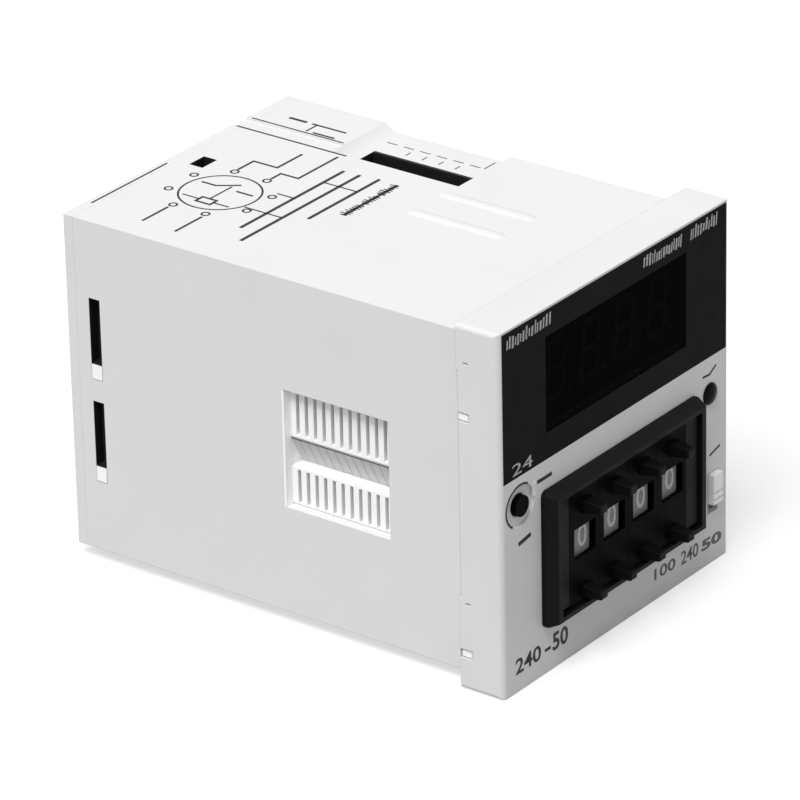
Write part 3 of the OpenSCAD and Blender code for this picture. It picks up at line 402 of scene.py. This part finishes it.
def add_tally(mesh, face, start, end, height, seed, words=(1.0,), lean=0.12):
    """A row of upright bars in groups, standing for a line of small print."""
    dice = random.Random(seed)
    start, end = Vector(start), Vector(end)
    length = (end - start).length
    along = (end - start) / length
    up = Vector((-along.y, along.x))
    word_gap = 0.45 * height
    room = length - word_gap * (len(words) - 1)
    x = 0.0
    for share in words:
        stop = x + room * share / sum(words)
        while x < stop - 0.1 * height:
            wide = height * dice.uniform(0.10, 0.22)
            low = height * dice.choice((0, 0, 0.12))
            high = height * dice.choice((1, 0.8, 0.9, 0.7))
            corners = [(x, low), (x + wide, low), (x + wide, high), (x, high)]
            add_plate(mesh, face, [start + along * (u + lean * v) + up * v for u, v in corners])
            x += wide + height * dice.uniform(0.12, 0.2)
        x = stop + word_gap


# Height of a capital as a share of the font's size
CAPITAL_SHARE = 0.7


def figure_mesh(name, text, height, thick, weight):
    """Plain numbers as a mesh: height in millimetres, thick each side of the middle."""
    curve = bpy.data.curves.new(name, "FONT")
    curve.body = text
    curve.size = height * MM / CAPITAL_SHARE
    curve.align_x = "CENTER"
    curve.align_y = "CENTER"
    curve.extrude = thick * MM
    curve.offset = weight * MM
    curve.resolution_u = 3
    figure = bpy.data.objects.new(name, curve)
    scene.collection.objects.link(figure)
    bpy.context.view_layer.update()
    data = bpy.data.meshes.new_from_object(figure)
    bpy.data.objects.remove(figure)
    return data


def add_figures(mesh, face, text, middle, height, width, turn=0.0, weight=0.0):
    """Adds a plain number to the print: middle on the face, width of the whole number."""
    data = figure_mesh("figures", text, height, (INK_RISE + INK_SINK) / 2, weight)
    xs = [v.co.x for v in data.vertices]
    ys = [v.co.y for v in data.vertices]
    wide = width * MM / (max(xs) - min(xs))
    tall = height * MM / (max(ys) - min(ys))
    shift = Vector(((max(xs) + min(xs)) / 2, (max(ys) + min(ys)) / 2, 0))
    lift = face.out * (INK_RISE - INK_SINK) / 2 * MM
    slope = math.radians(turn)
    for v in data.vertices:
        u, w = (v.co.x - shift.x) * wide, (v.co.y - shift.y) * tall
        across = u * math.cos(slope) - w * math.sin(slope)
        along = u * math.sin(slope) + w * math.cos(slope)
        v.co = face.at(middle, 0) + lift + face.across * across + face.along * along + face.out * v.co.z
    mesh.from_mesh(data)
    bpy.data.meshes.remove(data)


def print_window(pale):
    """Pale marks in the corners of the black window panel."""
    mesh = bmesh.new()
    add_tally(mesh, WINDOW, (-22.4, 21.3), (-13.6, 21.6), 1.7, 3)
    add_tally(mesh, WINDOW, (5.5, 21.4), (13.7, 21.4), 1.6, 5)
    add_tally(mesh, WINDOW, (15.5, 21.5), (21.4, 21.5), 1.7, 8)
    add_figures(mesh, WINDOW, "24", (-19.5, 5.5), 1.5, 4.1)
    add_piece("window_marks", mesh, pale)


def print_front(dark):
    """Dark marks beside the controls of the front, and a painted-shade arc round the reset button's dish."""
    mesh = bmesh.new()
    add_stroke(mesh, FRONT, [(-20.5, -4.5), (-18.0, -4.1)], 0.55)
    # Painted shade: a dark arc on the upper-left rim of the reset button's dish, where its wall is in shade
    add_stroke(mesh, FRONT, arc((-19.95, 0.43), (2.95, 2.75), 60, 235), 0.28)
    add_stroke(mesh, FRONT, [(-16.6, 2.1), (-13.6, 2.1)], 0.5)
    add_stroke(mesh, FRONT, [(18.2, 2.1), (19.7, 2.0), (21.1, 2.8)], 0.28)
    add_stroke(mesh, FRONT, [(19.7, -9.1), (22.0, -8.5)], 0.3)
    add_stroke(mesh, FRONT, [(19.8, -16.3), (21.2, -16.3)], 0.25)
    add_figures(mesh, FRONT, "240", (-18.8, -20.6), 2.1, 5.2, weight=0.05)
    add_stroke(mesh, FRONT, [(-15.4, -20.9), (-14.2, -20.9)], 0.4)
    add_figures(mesh, FRONT, "50", (-12.2, -20.5), 2.4, 3.2, weight=0.08)
    add_piece("front_marks", mesh, dark)


def print_row(grey):
    """A grey row of plain numbers under the thumbwheels, at the right."""
    mesh = bmesh.new()
    add_figures(mesh, FRONT, "100", (10.0, -20.6), 1.6, 4.6, turn=-2, weight=0.04)
    add_figures(mesh, FRONT, "240", (15.4, -20.8), 1.9, 3.8, turn=-2, weight=0.04)
    add_figures(mesh, FRONT, "50", (20.2, -21.0), 1.5, 4.4, turn=-1, weight=0.08)
    add_piece("rating_marks", mesh, grey)


def print_bar(white):
    """A light index bar between the reset button and the thumbwheels."""
    mesh = bmesh.new()
    add_stroke(mesh, FRONT, [(-17.2, 2.5), (-17.2, 0.6)], 0.6)
    add_piece("index_bar", mesh, white)


def print_top(dark):
    """A generic connection diagram: leads that run to a round base with eight terminals, and painted shade
    along the channel's edges.
    """
    mesh = bmesh.new()
    fine, line, heavy = 0.26, 0.36, 0.5
    centre, radius = (-6.6, 54.6), 5.2
    ring = arc(centre, radius, 0, 360, 64)
    add_stroke(mesh, TOP, ring, fine)
    for step in range(8):
        terminal = arc(centre, radius + 1.4, 22.5 + 45 * step, 22.5 + 45 * step, 1)[0]
        add_stroke(mesh, TOP, arc(terminal, 0.5, 0, 360, 16), fine)
    # Leads out of the base
    add_stroke(mesh, TOP, [(-18.9, 51.9), (-13.6, 51.9)], line)
    add_stroke(mesh, TOP, [(-18.6, 57.2), (-13.6, 57.2)], line)
    add_stroke(mesh, TOP, [(0.2, 57.2), (3.4, 57.2), (3.4, 53.5), (8.5, 53.5)], line)
    add_stroke(mesh, TOP, [(0.2, 52.0), (2.2, 52.0), (2.2, 49.3), (10.3, 49.3)], line)
    # Coil and contact inside it
    add_stroke(mesh, TOP, [(-10.2, 55.6), (-8.8, 55.6), (-8.8, 53.4), (-10.2, 53.4), (-10.2, 55.6)], line)
    add_stroke(mesh, TOP, [(-9.5, 58.2), (-9.5, 55.6)], fine)
    add_stroke(mesh, TOP, [(-9.5, 53.4), (-9.5, 51.0)], fine)
    add_stroke(mesh, TOP, [(-5.2, 58.6), (-5.2, 56.4), (-3.4, 53.8)], line)
    add_stroke(mesh, TOP, [(-5.2, 50.6), (-5.2, 53.2)], line)
    add_stroke(mesh, TOP, [(-8.6, 54.5), (-4.4, 54.5)], fine)
    # Supply lines below the base
    add_stroke(mesh, TOP, [(-13.6, 46.0), (7.2, 46.0)], heavy)
    add_stroke(mesh, TOP, [(-16.6, 43.6), (7.3, 43.6)], heavy)
    add_stroke(mesh, TOP, [(-6.9, 40.8), (7.6, 40.8)], heavy)
    add_stroke(mesh, TOP, [(-8.4, 49.4), (-8.4, 43.6)], fine)
    add_stroke(mesh, TOP, [(-2.9, 48.6), (-2.9, 46.0)], fine)
    add_stroke(mesh, TOP, [(3.0, 46.0), (3.0, 40.8)], fine)
    add_tally(mesh, TOP, (-3.6, 37.3), (7.4, 37.3), 1.5, 61, words=(4, 3, 4), lean=0)
    add_stroke(mesh, TOP, [(-3.6, 37.9), (7.4, 37.9)], heavy)
    # Painted shade along both edges of the channel, and a dark line along the rear edge
    add_stroke(mesh, TOP, [(11.1, 65.9), (11.1, 48.6)], 0.3)
    add_stroke(mesh, TOP, [(14.2, 65.9), (14.2, 51.4)], 0.26)
    add_stroke(mesh, TOP, [(-17.9, 65.75), (-3.1, 65.75)], 0.28)
    # Short marks on the strip beside the channel
    add_stroke(mesh, TOP, [(16.9, 62.0), (16.9, 59.2)], heavy)
    add_stroke(mesh, TOP, [(16.9, 58.4), (16.9, 53.0)], line)
    add_stroke(mesh, TOP, [(14.6, 57.6), (16.9, 57.6)], fine)
    add_stroke(mesh, TOP, [(14.7, 56.6), (14.7, 53.2)], line)
    add_piece("connection_diagram", mesh, dark)


def print_pocket(dark):
    """Index marks of the range levers, on the pocket's floor beside the slot."""
    mesh = bmesh.new()
    dash, start, stop = 1.6, 34.0, 48.4
    count = 6
    line = 0.16
    for i in range(count):
        y = start + (stop - start - dash) * i / (count - 1)
        add_stroke(mesh, POCKET, [(19.3, y), (19.3, y + dash)], line)
    for i in range(1, LEVERS + 1):
        low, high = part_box(f"range_lever_{i}")
        y = (low.y + high.y) / 2 / MM - FRONT_Y
        add_stroke(mesh, POCKET, [(17.2, y), (18.3, y)], line)
    add_stroke(mesh, POCKET, [(19.3, 33.4), (21.6, 33.4)], line)
    add_piece("range_marks", mesh, dark)


# Solids

def spot(x, y, z):
    """A point from millimetres, with y measured back from the front frame's face."""
    return Vector((x, FRONT_Y + y, z)) * MM


def cell_solid(low, high, holes):
    """A box with box-shaped openings, as one closed mesh. Each hole is (low, high)."""
    cuts = [sorted({low[k], high[k]} | {c for hole in holes for c in (hole[0][k], hole[1][k])
                                        if low[k] < c < high[k]}) for k in range(3)]
    counts = [len(c) - 1 for c in cuts]

    def solid(cell):
        if any(not 0 <= cell[k] < counts[k] for k in range(3)):
            return False
        middle = [(cuts[k][cell[k]] + cuts[k][cell[k] + 1]) / 2 for k in range(3)]
        return not any(all(a[k] < middle[k] < b[k] for k in range(3)) for a, b in holes)

    mesh = bmesh.new()
    corners = {}

    def corner(index):
        if index not in corners:
            corners[index] = mesh.verts.new(spot(*(cuts[k][index[k]] for k in range(3))))
        return corners[index]

    for cell in itertools.product(*(range(count) for count in counts)):
        if not solid(cell):
            continue
        for k in range(3):
            for side in (0, 1):
                beside = list(cell)
                beside[k] += 1 if side else -1
                if solid(beside):
                    continue
                u, v = (k + 1) % 3, (k + 2) % 3
                ring = []
                for du, dv in ((0, 0), (1, 0), (1, 1), (0, 1)):
                    index = list(cell)
                    index[k] += side
                    index[u] += du
                    index[v] += dv
                    ring.append(corner(tuple(index)))
                mesh.faces.new(ring)
    return mesh


# Smallest corner radius of a loop that is drawn in
LEAST_RADIUS = 0.05


def rounded_loop(span_x, span_z, radius, inset, y, steps=6):
    """Points round a rectangle with round corners, at depth y. Inset is at most the radius."""
    (x0, x1), (z0, z1) = span_x, span_z
    points = []
    for cx, cz, start in ((x1 - radius, z1 - radius, 0), (x0 + radius, z1 - radius, 90),
                          (x0 + radius, z0 + radius, 180), (x1 - radius, z0 + radius, 270)):
        for u, v in arc((cx, cz), max(LEAST_RADIUS, radius - inset), start, start + 90, steps):
            points.append((u, y, v))
    return points


def loft(loops, closed):
    """Joins loops of equal count in order; closed also joins the last to the first."""
    mesh = bmesh.new()
    rings = [[mesh.verts.new(spot(*q)) for q in loop] for loop in loops]
    pairs = list(zip(rings, rings[1:])) + ([(rings[-1], rings[0])] if closed else [])
    for a, b in pairs:
        for i in range(len(a)):
            j = (i + 1) % len(a)
            mesh.faces.new((a[i], a[j], b[j], b[i]))
    if not closed:
        mesh.faces.new(rings[0])
        mesh.faces.new(rings[-1])
    return mesh


# Thumbwheels

# The row of windows and pegs stands this far to the right of the wheels' middles
ROW_RIGHT = 0.45

# Frame round the row
RING_X, RING_Z, RING_CORNER = (-15.9, 16.8), (-17.7, 0.5), 0.8
RING_HOLE_X, RING_HOLE_Z, RING_HOLE_CORNER = (-14.3, 15.2), (-16.35, -0.85), 0.2
RING_PROUD, RING_SIDE, RING_BEVEL = 2.0, 0.6, 0.8

# Housing of a wheel and the chamber in it
HOUSING_HALF = 3.04
HOUSING_FACE, HOUSING_BACK = -1.5, 13.45
HOUSING_LOW, HOUSING_TOP = -16.3, -0.6
CHAMBER_LEFT = 2.4
FACE_WALL, BACK_WALL, LOW_WALL, TOP_WALL = 0.3, 0.45, 0.6, 0.35
SIGHT_X, SIGHT_Z = (-2.45, 1.95), (-10.1, -6.1)

# Setting pegs and their guides
PEG_Z = {"plus": -3.5, "minus": -14.93}
PEG_HALF = (0.95, 0.82)
PEG_TIP, PEG_ROOT = -4.2, -1.0
PEG_STRAIGHT = 0.2
PEG_TAPER = 0.25
PEG_CHAMFER = 0.12
PEG_FIT = 0.1
GUIDE_BACK = 1.5

# Drums
DRUM_FLAT = 6.6
DRUM_BORE = 1.1
DRUM_SPAN = (-2.3, 2.2)
FIGURE_HEIGHT = 2.9
FIGURE_RIGHT = 0.75
FIGURE_WEIGHT = 0.03


def add_ring():
    """Raised frame round the row: a low side wall, a bevel and a flat rim."""
    outer = (RING_X, RING_Z, RING_CORNER)
    inner = (RING_HOLE_X, RING_HOLE_Z, RING_HOLE_CORNER)
    loops = [rounded_loop(*outer, 0, 0), rounded_loop(*outer, 0, -RING_SIDE),
             rounded_loop(*outer, RING_BEVEL, -RING_PROUD),
             rounded_loop(*inner, 0, -RING_PROUD), rounded_loop(*inner, 0, 0)]
    ring = add_piece("thumbwheel_frame", loft(loops, True), FINISHES["black_frame"])
    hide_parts("thumbwheel_bezel")


def add_housing(i, middle):
    """Housing with its window, two guides for the pegs and the chamber of the wheel."""
    x = middle + ROW_RIGHT
    before = HOUSING_FACE - 1
    sight = ((x + SIGHT_X[0], before, SIGHT_Z[0]), (x + SIGHT_X[1], 0, SIGHT_Z[1]))
    chamber = ((middle - CHAMBER_LEFT, HOUSING_FACE + FACE_WALL, HOUSING_LOW + LOW_WALL),
               (middle + HOUSING_HALF + 1, HOUSING_BACK - BACK_WALL, HOUSING_TOP - TOP_WALL))
    holes = [sight, chamber]
    for z in PEG_Z.values():
        holes.append(((x - PEG_HALF[0] - PEG_FIT, before, z - PEG_HALF[1] - PEG_FIT),
                      (x + PEG_HALF[0] + PEG_FIT, GUIDE_BACK, z + PEG_HALF[1] + PEG_FIT)))
    mesh = cell_solid((middle - HOUSING_HALF, HOUSING_FACE, HOUSING_LOW),
                      (middle + HOUSING_HALF, HOUSING_BACK, HOUSING_TOP), holes)
    piece = add_piece(f"thumbwheel_housing_{i}", mesh, FINISHES["black_moulded"])
    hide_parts(f"wheel_housing_{i}")


def add_pegs(i, middle):
    """The two setting pegs of a wheel, slightly narrower at the tip."""
    x = middle + ROW_RIGHT
    stations = ((PEG_ROOT, 0), (HOUSING_FACE - PEG_STRAIGHT, 0), (PEG_TIP + PEG_CHAMFER, PEG_TAPER),
                (PEG_TIP, PEG_TAPER + PEG_CHAMFER))
    for kind, z in PEG_Z.items():
        loops = []
        for y, slim in stations:
            wide, tall = PEG_HALF[0] - slim, PEG_HALF[1] - slim
            loops.append(rounded_loop((x - wide, x + wide), (z - tall, z + tall), PEG_CHAMFER, 0, y, 3))
        piece = add_piece(f"{kind}_peg_{i}", loft(loops, False), FINISHES["button_black"],
                          f"moving_{kind}_button_{i}")
        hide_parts(f"{kind}_button_{i}")


def add_drum(i, middle, axis):
    """The wheel's drum with ten flats, open in the middle for the spindle."""
    left, right = DRUM_SPAN
    corner = DRUM_FLAT / math.cos(math.pi / FLATS)
    axis_y, axis_z = axis.y / MM - FRONT_Y, axis.z / MM
    turns = [2 * math.pi * (k + 0.5) / FLATS for k in range(FLATS)]
    loops = [[(middle + x, axis_y - radius * math.cos(a), axis_z + radius * math.sin(a)) for a in turns]
             for x, radius in ((left, DRUM_BORE), (left, corner), (right, corner), (right, DRUM_BORE))]
    piece = add_piece(f"digit_drum_{i}", loft(loops, True), FINISHES["wheel_plastic"],
                      f"moving_digit_wheel_{i}")
    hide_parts(f"digit_wheel_{i}")


def add_digits(i, middle, axis, material):
    """The figures 0 to 9 round a wheel, one on each flat."""
    stand = Matrix.Rotation(math.pi / 2, 4, "X")
    out = Matrix.Translation((0, -DRUM_FLAT * MM, 0))
    place = Matrix.Translation(((middle + FIGURE_RIGHT) * MM, axis.y, axis.z))
    for digit in range(FLATS):
        name = f"wheel_{i}_figure_{digit}"
        data = figure_mesh(name, str(digit), FIGURE_HEIGHT, INK_RISE, FIGURE_WEIGHT)
        data.materials.clear()
        data.materials.append(material)
        piece = bpy.data.objects.new(name, data)
        turn = Matrix.Rotation(digit * 2 * math.pi / FLATS, 4, "X")
        piece.matrix_world = place @ turn @ out @ stand
        scene.collection.objects.link(piece)
        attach(piece, f"moving_digit_wheel_{i}")


def add_thumbwheels():
    """The frame, and a housing, two pegs, a drum and its figures for each wheel."""
    add_ring()
    figure_ink = ink("figure_white", FIGURE_INK)
    for i in range(1, WHEELS + 1):
        low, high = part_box(f"wheel_housing_{i}")
        middle = (low.x + high.x) / 2 / MM
        low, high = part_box(f"digit_wheel_{i}")
        axis = (low + high) / 2
        add_housing(i, middle)
        add_pegs(i, middle)
        add_drum(i, middle, axis)
        add_digits(i, middle, axis, figure_ink)


# Openings of the case

# How far a black painted-shade sheet or a cheek reaches into the wall behind it, and a painted-shade sheet's
# thickness
SUNK = 0.02
SHADE_SHEET = 0.06

CASE_HALF = 22.4
SIDES = ((-1, "left"), (1, "right"))
SLOT_LOW, SLOT_HIGH = (11.28, 32.28, 19.53), (16.32, 48.12, 21.38)
SLOT_LEDGE_X, SLOT_LEDGE_Z = 15.9, 19.9
PORT_LOW, PORT_HIGH = (-1.82, 61.18, 20.6), (1.22, 63.32, 22.38)
LATCH_SPANS = ((3.2, 12.05), (-10.8, -1.9))
LATCH_Y = (61.4, 63.1)
LATCH_DEEP = 20.79
HOOK_REACH = (-2.05, -0.15)
HOOK_SIDE = 0.05
NUB_FACE, NUB_Y, NUB_SPOTS = 23.85, (4.6, 5.95), (12.1, -19.2)
NUB_HEIGHT = 0.85


def line_slot(black):
    """Black painted shade in the range slot: a sheet over its walls, open below for the levers, with a ledge
    over the board's edge.
    """
    low, high = SLOT_LOW, SLOT_HIGH
    holes = [((low[0] + SHADE_SHEET, low[1] + SHADE_SHEET, low[2] - 1), (SLOT_LEDGE_X, high[1] - SHADE_SHEET, high[2] + 1)),
             ((SLOT_LEDGE_X, low[1] - 1, low[2] - 1), (high[0] + 1, high[1] + 1, SLOT_LEDGE_Z))]
    add_piece("slot_shade_sheet", cell_solid(low, high, holes), black)


def line_port(black):
    """Black painted shade in the port on top: a tray over its walls."""
    low, high = PORT_LOW, PORT_HIGH
    hole = ((low[0] + SHADE_SHEET, low[1] + SHADE_SHEET, low[2] + SHADE_SHEET), (high[0] - SHADE_SHEET, high[1] - SHADE_SHEET, high[2] + 1))
    add_piece("port_shade_sheet", cell_solid(low, high, [hole]), black)


def line_latches(black):
    """Black painted shade in the latch slots: trays over their walls, open to the outside, above the hooks.
    """
    for side, word in SIDES:
        x = sorted((side * LATCH_DEEP, side * (CASE_HALF - SUNK)))
        open_x = (x[0] - 1, x[1] - SHADE_SHEET) if side < 0 else (x[0] + SHADE_SHEET, x[1] + 1)
        for number, (start, stop) in enumerate(LATCH_SPANS, 1):
            low = (x[0], LATCH_Y[0] - SUNK, start)
            high = (x[1], LATCH_Y[1] + SUNK, stop + SUNK)
            hole = ((open_x[0], low[1] + SHADE_SHEET, low[2] + SHADE_SHEET),
                    (open_x[1], high[1] - SHADE_SHEET, high[2] - SHADE_SHEET))
            add_piece(f"latch_shade_sheet_{word}_{number}", cell_solid(low, high, [hole]), black)


def mark_catches(white):
    """Painted highlights: pale faces on the rear cover's hooks and on the case's nubs, lighter than their own
    plastic.
    """
    middle = sum(LATCH_Y) / 2
    width = LATCH_Y[1] - LATCH_Y[0] - 2 * HOOK_SIDE
    for side, word in SIDES:
        mesh = bmesh.new()
        hooks = Face((side * CASE_HALF, FRONT_Y, 0), (0, side, 0), (0, 0, 1))
        nubs = Face((side * NUB_FACE, FRONT_Y, 0), (0, side, 0), (0, 0, 1))
        for start, _ in LATCH_SPANS:
            add_stroke(mesh, hooks, [(side * middle, start + reach) for reach in HOOK_REACH], width)
        for z in NUB_SPOTS:
            add_stroke(mesh, nubs, [(side * y, z) for y in NUB_Y], NUB_HEIGHT)
        add_piece(f"catch_highlights_{word}", mesh, white)


# Grilles

GRILLE_SET, GRILLE_REAR, GRILLE_Z = 1.3, 33.5, (-8.1, 7.6)
GRILLE_LEN, GRILLE_GAPS, GRILLE_GAP = 16.0, 11, 0.5
CHEEK = 0.32
LOUVRE_DEEP, LOUVRE_Z = 3.4, (-3.08, 0.95)
# How far the painted-shade skin stays clear of the slope's sides and ends, and the ends and width of the
# darker painted shadow lines of the gaps on it
LOUVRE_SIDE, LOUVRE_TOP, LOUVRE_FOOT = 0.3, 0.3, 0.03
SHADE_LINE_TOP, SHADE_LINE_FOOT, SHADE_LINE_WIDTH = 0.2, 0.06, 0.12
# Black painted shadow line of the slit, along the top of the slope
SLIT_SHADOW_TOP, SLIT_SHADOW_WIDTH = 0.07, 0.16


def add_cheeks():
    """White cheek at the rear end of each grille window, in front of the slats."""
    for side, word in SIDES:
        x = sorted((side * (CASE_HALF - GRILLE_SET - SUNK), side * (CASE_HALF - SUNK)))
        mesh = cell_solid((x[0], GRILLE_REAR - CHEEK, GRILLE_Z[0] - SUNK),
                          (x[1], GRILLE_REAR + SUNK, GRILLE_Z[1] + SUNK), [])
        add_piece(f"grille_cheek_{word}", mesh, FINISHES["grille_plastic"])


def skin_louvres():
    """Painted shade on the louvre's slope between the rows of slats: a grey skin, darker grey painted shadow
    lines of the gaps, and a black painted shadow line of the slit at its top.
    """
    fall = Vector((LOUVRE_DEEP - GRILLE_SET, LOUVRE_Z[1] - LOUVRE_Z[0]))
    length = fall.length
    top = length - LOUVRE_TOP
    start, stop = GRILLE_REAR - GRILLE_LEN + LOUVRE_SIDE, GRILLE_REAR - LOUVRE_SIDE
    middle = GRILLE_REAR - GRILLE_LEN / 2
    pitch = (GRILLE_LEN - 3 * GRILLE_GAP) / GRILLE_GAPS
    for side, word in SIDES:
        slope = Face((side * (CASE_HALF - LOUVRE_DEEP), FRONT_Y, LOUVRE_Z[0]), (0, side, 0),
                     (side * fall.x / length, 0, fall.y / length))
        raised = Face(slope.origin + slope.out * INK_RISE, slope.across, slope.along)
        skin, lines, slit = bmesh.new(), bmesh.new(), bmesh.new()
        across = side * (start + stop) / 2
        add_stroke(skin, slope, [(across, LOUVRE_FOOT), (across, top)], stop - start)
        for k in range(GRILLE_GAPS):
            y = side * (middle + (k - (GRILLE_GAPS - 1) / 2) * pitch)
            add_stroke(lines, raised, [(y, SHADE_LINE_FOOT), (y, top - SHADE_LINE_TOP)], SHADE_LINE_WIDTH)
        ends = [(side * y, top - SLIT_SHADOW_TOP) for y in (start, stop)]
        add_stroke(slit, raised, ends, SLIT_SHADOW_WIDTH)
        add_piece(f"louvre_slit_shadow_{word}", slit, FINISHES["switch_black"])
        add_piece(f"louvre_shade_skin_{word}", skin, FINISHES["louvre_painted_shade"])
        add_piece(f"louvre_shade_lines_{word}", lines, FINISHES["louvre_shade_line"])


# Lens

LENS_X, LENS_Z = 19.72, -0.62
LENS_RADIUS, BARREL_RADIUS = 1.46, 1.24
BARREL_BACK = 2.0
# Radius lost and height of the dome, from its rim to its crown
DOME = ((0, 0.01), (0, 0.12), (0.12, 0.26), (0.45, 0.45), (1.0, 0.58), (1.36, 0.61))


def add_lens():
    """Dark domed lens that stands a little out of the front."""
    stations = [(BARREL_RADIUS, BARREL_BACK), (BARREL_RADIUS, 0.0)]
    stations += [(LENS_RADIUS - lost, -height) for lost, height in DOME]
    loops = [rounded_loop((LENS_X - r, LENS_X + r), (LENS_Z - r, LENS_Z + r), r, 0, y) for r, y in stations]
    piece = add_piece("indicator_dome", loft(loops, False), FINISHES["lens_dark"])
    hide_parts("indicator_lens")


# Stage

SUN_FROM = Vector((-0.49, -0.07, 0.87))
SUN_STRENGTH = 3.0
SKY_STRENGTH = 0.45
FLOOR_HALF = 3.0
# Grey of the floor as it lights the object, grey of its shadow and its own glow as the camera sees it
FLOOR_PAPER, FLOOR_SHOWN, FLOOR_GLOW = 0.4, 0.35, 0.62


def seen_directly(tree):
    """1 for rays from the camera, and for reflected and refracted ones; 0 for diffuse light."""
    path = tree.nodes.new("ShaderNodeLightPath")
    first = tree.nodes.new("ShaderNodeMath")
    first.operation = "MAXIMUM"
    tree.links.new(path.outputs["Is Camera Ray"], first.inputs[0])
    tree.links.new(path.outputs["Is Glossy Ray"], first.inputs[1])
    both = tree.nodes.new("ShaderNodeMath")
    both.operation = "MAXIMUM"
    tree.links.new(first.outputs[0], both.inputs[0])
    tree.links.new(path.outputs["Is Transmission Ray"], both.inputs[1])
    return both.outputs[0]


def add_world():
    """An even soft sky, plain white where the camera sees it."""
    world = bpy.data.worlds.new("studio")
    scene.world = world
    world.use_nodes = True
    tree = world.node_tree
    tree.nodes.clear()
    lit = tree.nodes.new("ShaderNodeBackground")
    lit.inputs["Strength"].default_value = SKY_STRENGTH
    plain = tree.nodes.new("ShaderNodeBackground")
    plain.inputs["Strength"].default_value = 1.0
    for node in (lit, plain):
        node.inputs["Color"].default_value = (1, 1, 1, 1)
    mix = tree.nodes.new("ShaderNodeMixShader")
    tree.links.new(seen_directly(tree), mix.inputs["Fac"])
    tree.links.new(lit.outputs[0], mix.inputs[1])
    tree.links.new(plain.outputs[0], mix.inputs[2])
    tree.links.new(mix.outputs[0], tree.nodes.new("ShaderNodeOutputWorld").inputs["Surface"])


def add_sun():
    """One large soft lamp, high on the left."""
    data = bpy.data.lights.new("softbox", "SUN")
    data.energy = SUN_STRENGTH
    data.angle = math.radians(30)
    sun = bpy.data.objects.new("softbox", data)
    sun.rotation_euler = SUN_FROM.to_track_quat("Z", "Y").to_euler()
    scene.collection.objects.link(sun)


def add_floor():
    """A white sweep: plain white to the camera, with the object's shadow kept in it."""
    material = bpy.data.materials.new("paper")
    material.use_nodes = True
    tree = material.node_tree
    tree.nodes.clear()
    paper = tree.nodes.new("ShaderNodeBsdfDiffuse")
    paper.inputs["Color"].default_value = (FLOOR_PAPER, FLOOR_PAPER, FLOOR_PAPER, 1)
    shown = tree.nodes.new("ShaderNodeBsdfDiffuse")
    shown.inputs["Color"].default_value = (FLOOR_SHOWN, FLOOR_SHOWN, FLOOR_SHOWN, 1)
    glow = tree.nodes.new("ShaderNodeEmission")
    glow.inputs["Strength"].default_value = FLOOR_GLOW
    both = tree.nodes.new("ShaderNodeAddShader")
    tree.links.new(shown.outputs[0], both.inputs[0])
    tree.links.new(glow.outputs[0], both.inputs[1])
    mix = tree.nodes.new("ShaderNodeMixShader")
    tree.links.new(seen_directly(tree), mix.inputs["Fac"])
    tree.links.new(paper.outputs[0], mix.inputs[1])
    tree.links.new(both.outputs[0], mix.inputs[2])
    tree.links.new(mix.outputs[0], tree.nodes.new("ShaderNodeOutputMaterial").inputs["Surface"])
    data = bpy.data.meshes.new("floor")
    signs = ((-1, -1), (1, -1), (1, 1), (-1, 1))
    corners = [(u * FLOOR_HALF, v * FLOOR_HALF, FLOOR_Z * MM) for u, v in signs]
    data.from_pydata(corners, [], [(0, 1, 2, 3)])
    data.materials.append(material)
    floor = bpy.data.objects.new("floor", data)
    scene.collection.objects.link(floor)


add_camera()
dress_nodes()
print_window(ink("pale_ink", PALE_INK))
dark = ink("dark_ink", DARK_INK)
print_front(dark)
print_row(ink("grey_ink", GREY_INK))
print_bar(ink("white_ink", WHITE_INK))
print_top(dark)
print_pocket(dark)
add_thumbwheels()
line_slot(FINISHES["switch_black"])
line_port(FINISHES["switch_black"])
line_latches(FINISHES["switch_black"])
mark_catches(FINISHES["white_moulded"])
add_cheeks()
skin_louvres()
add_lens()
add_world()
add_sun()
add_floor()
scene.view_settings.view_transform = "Standard"
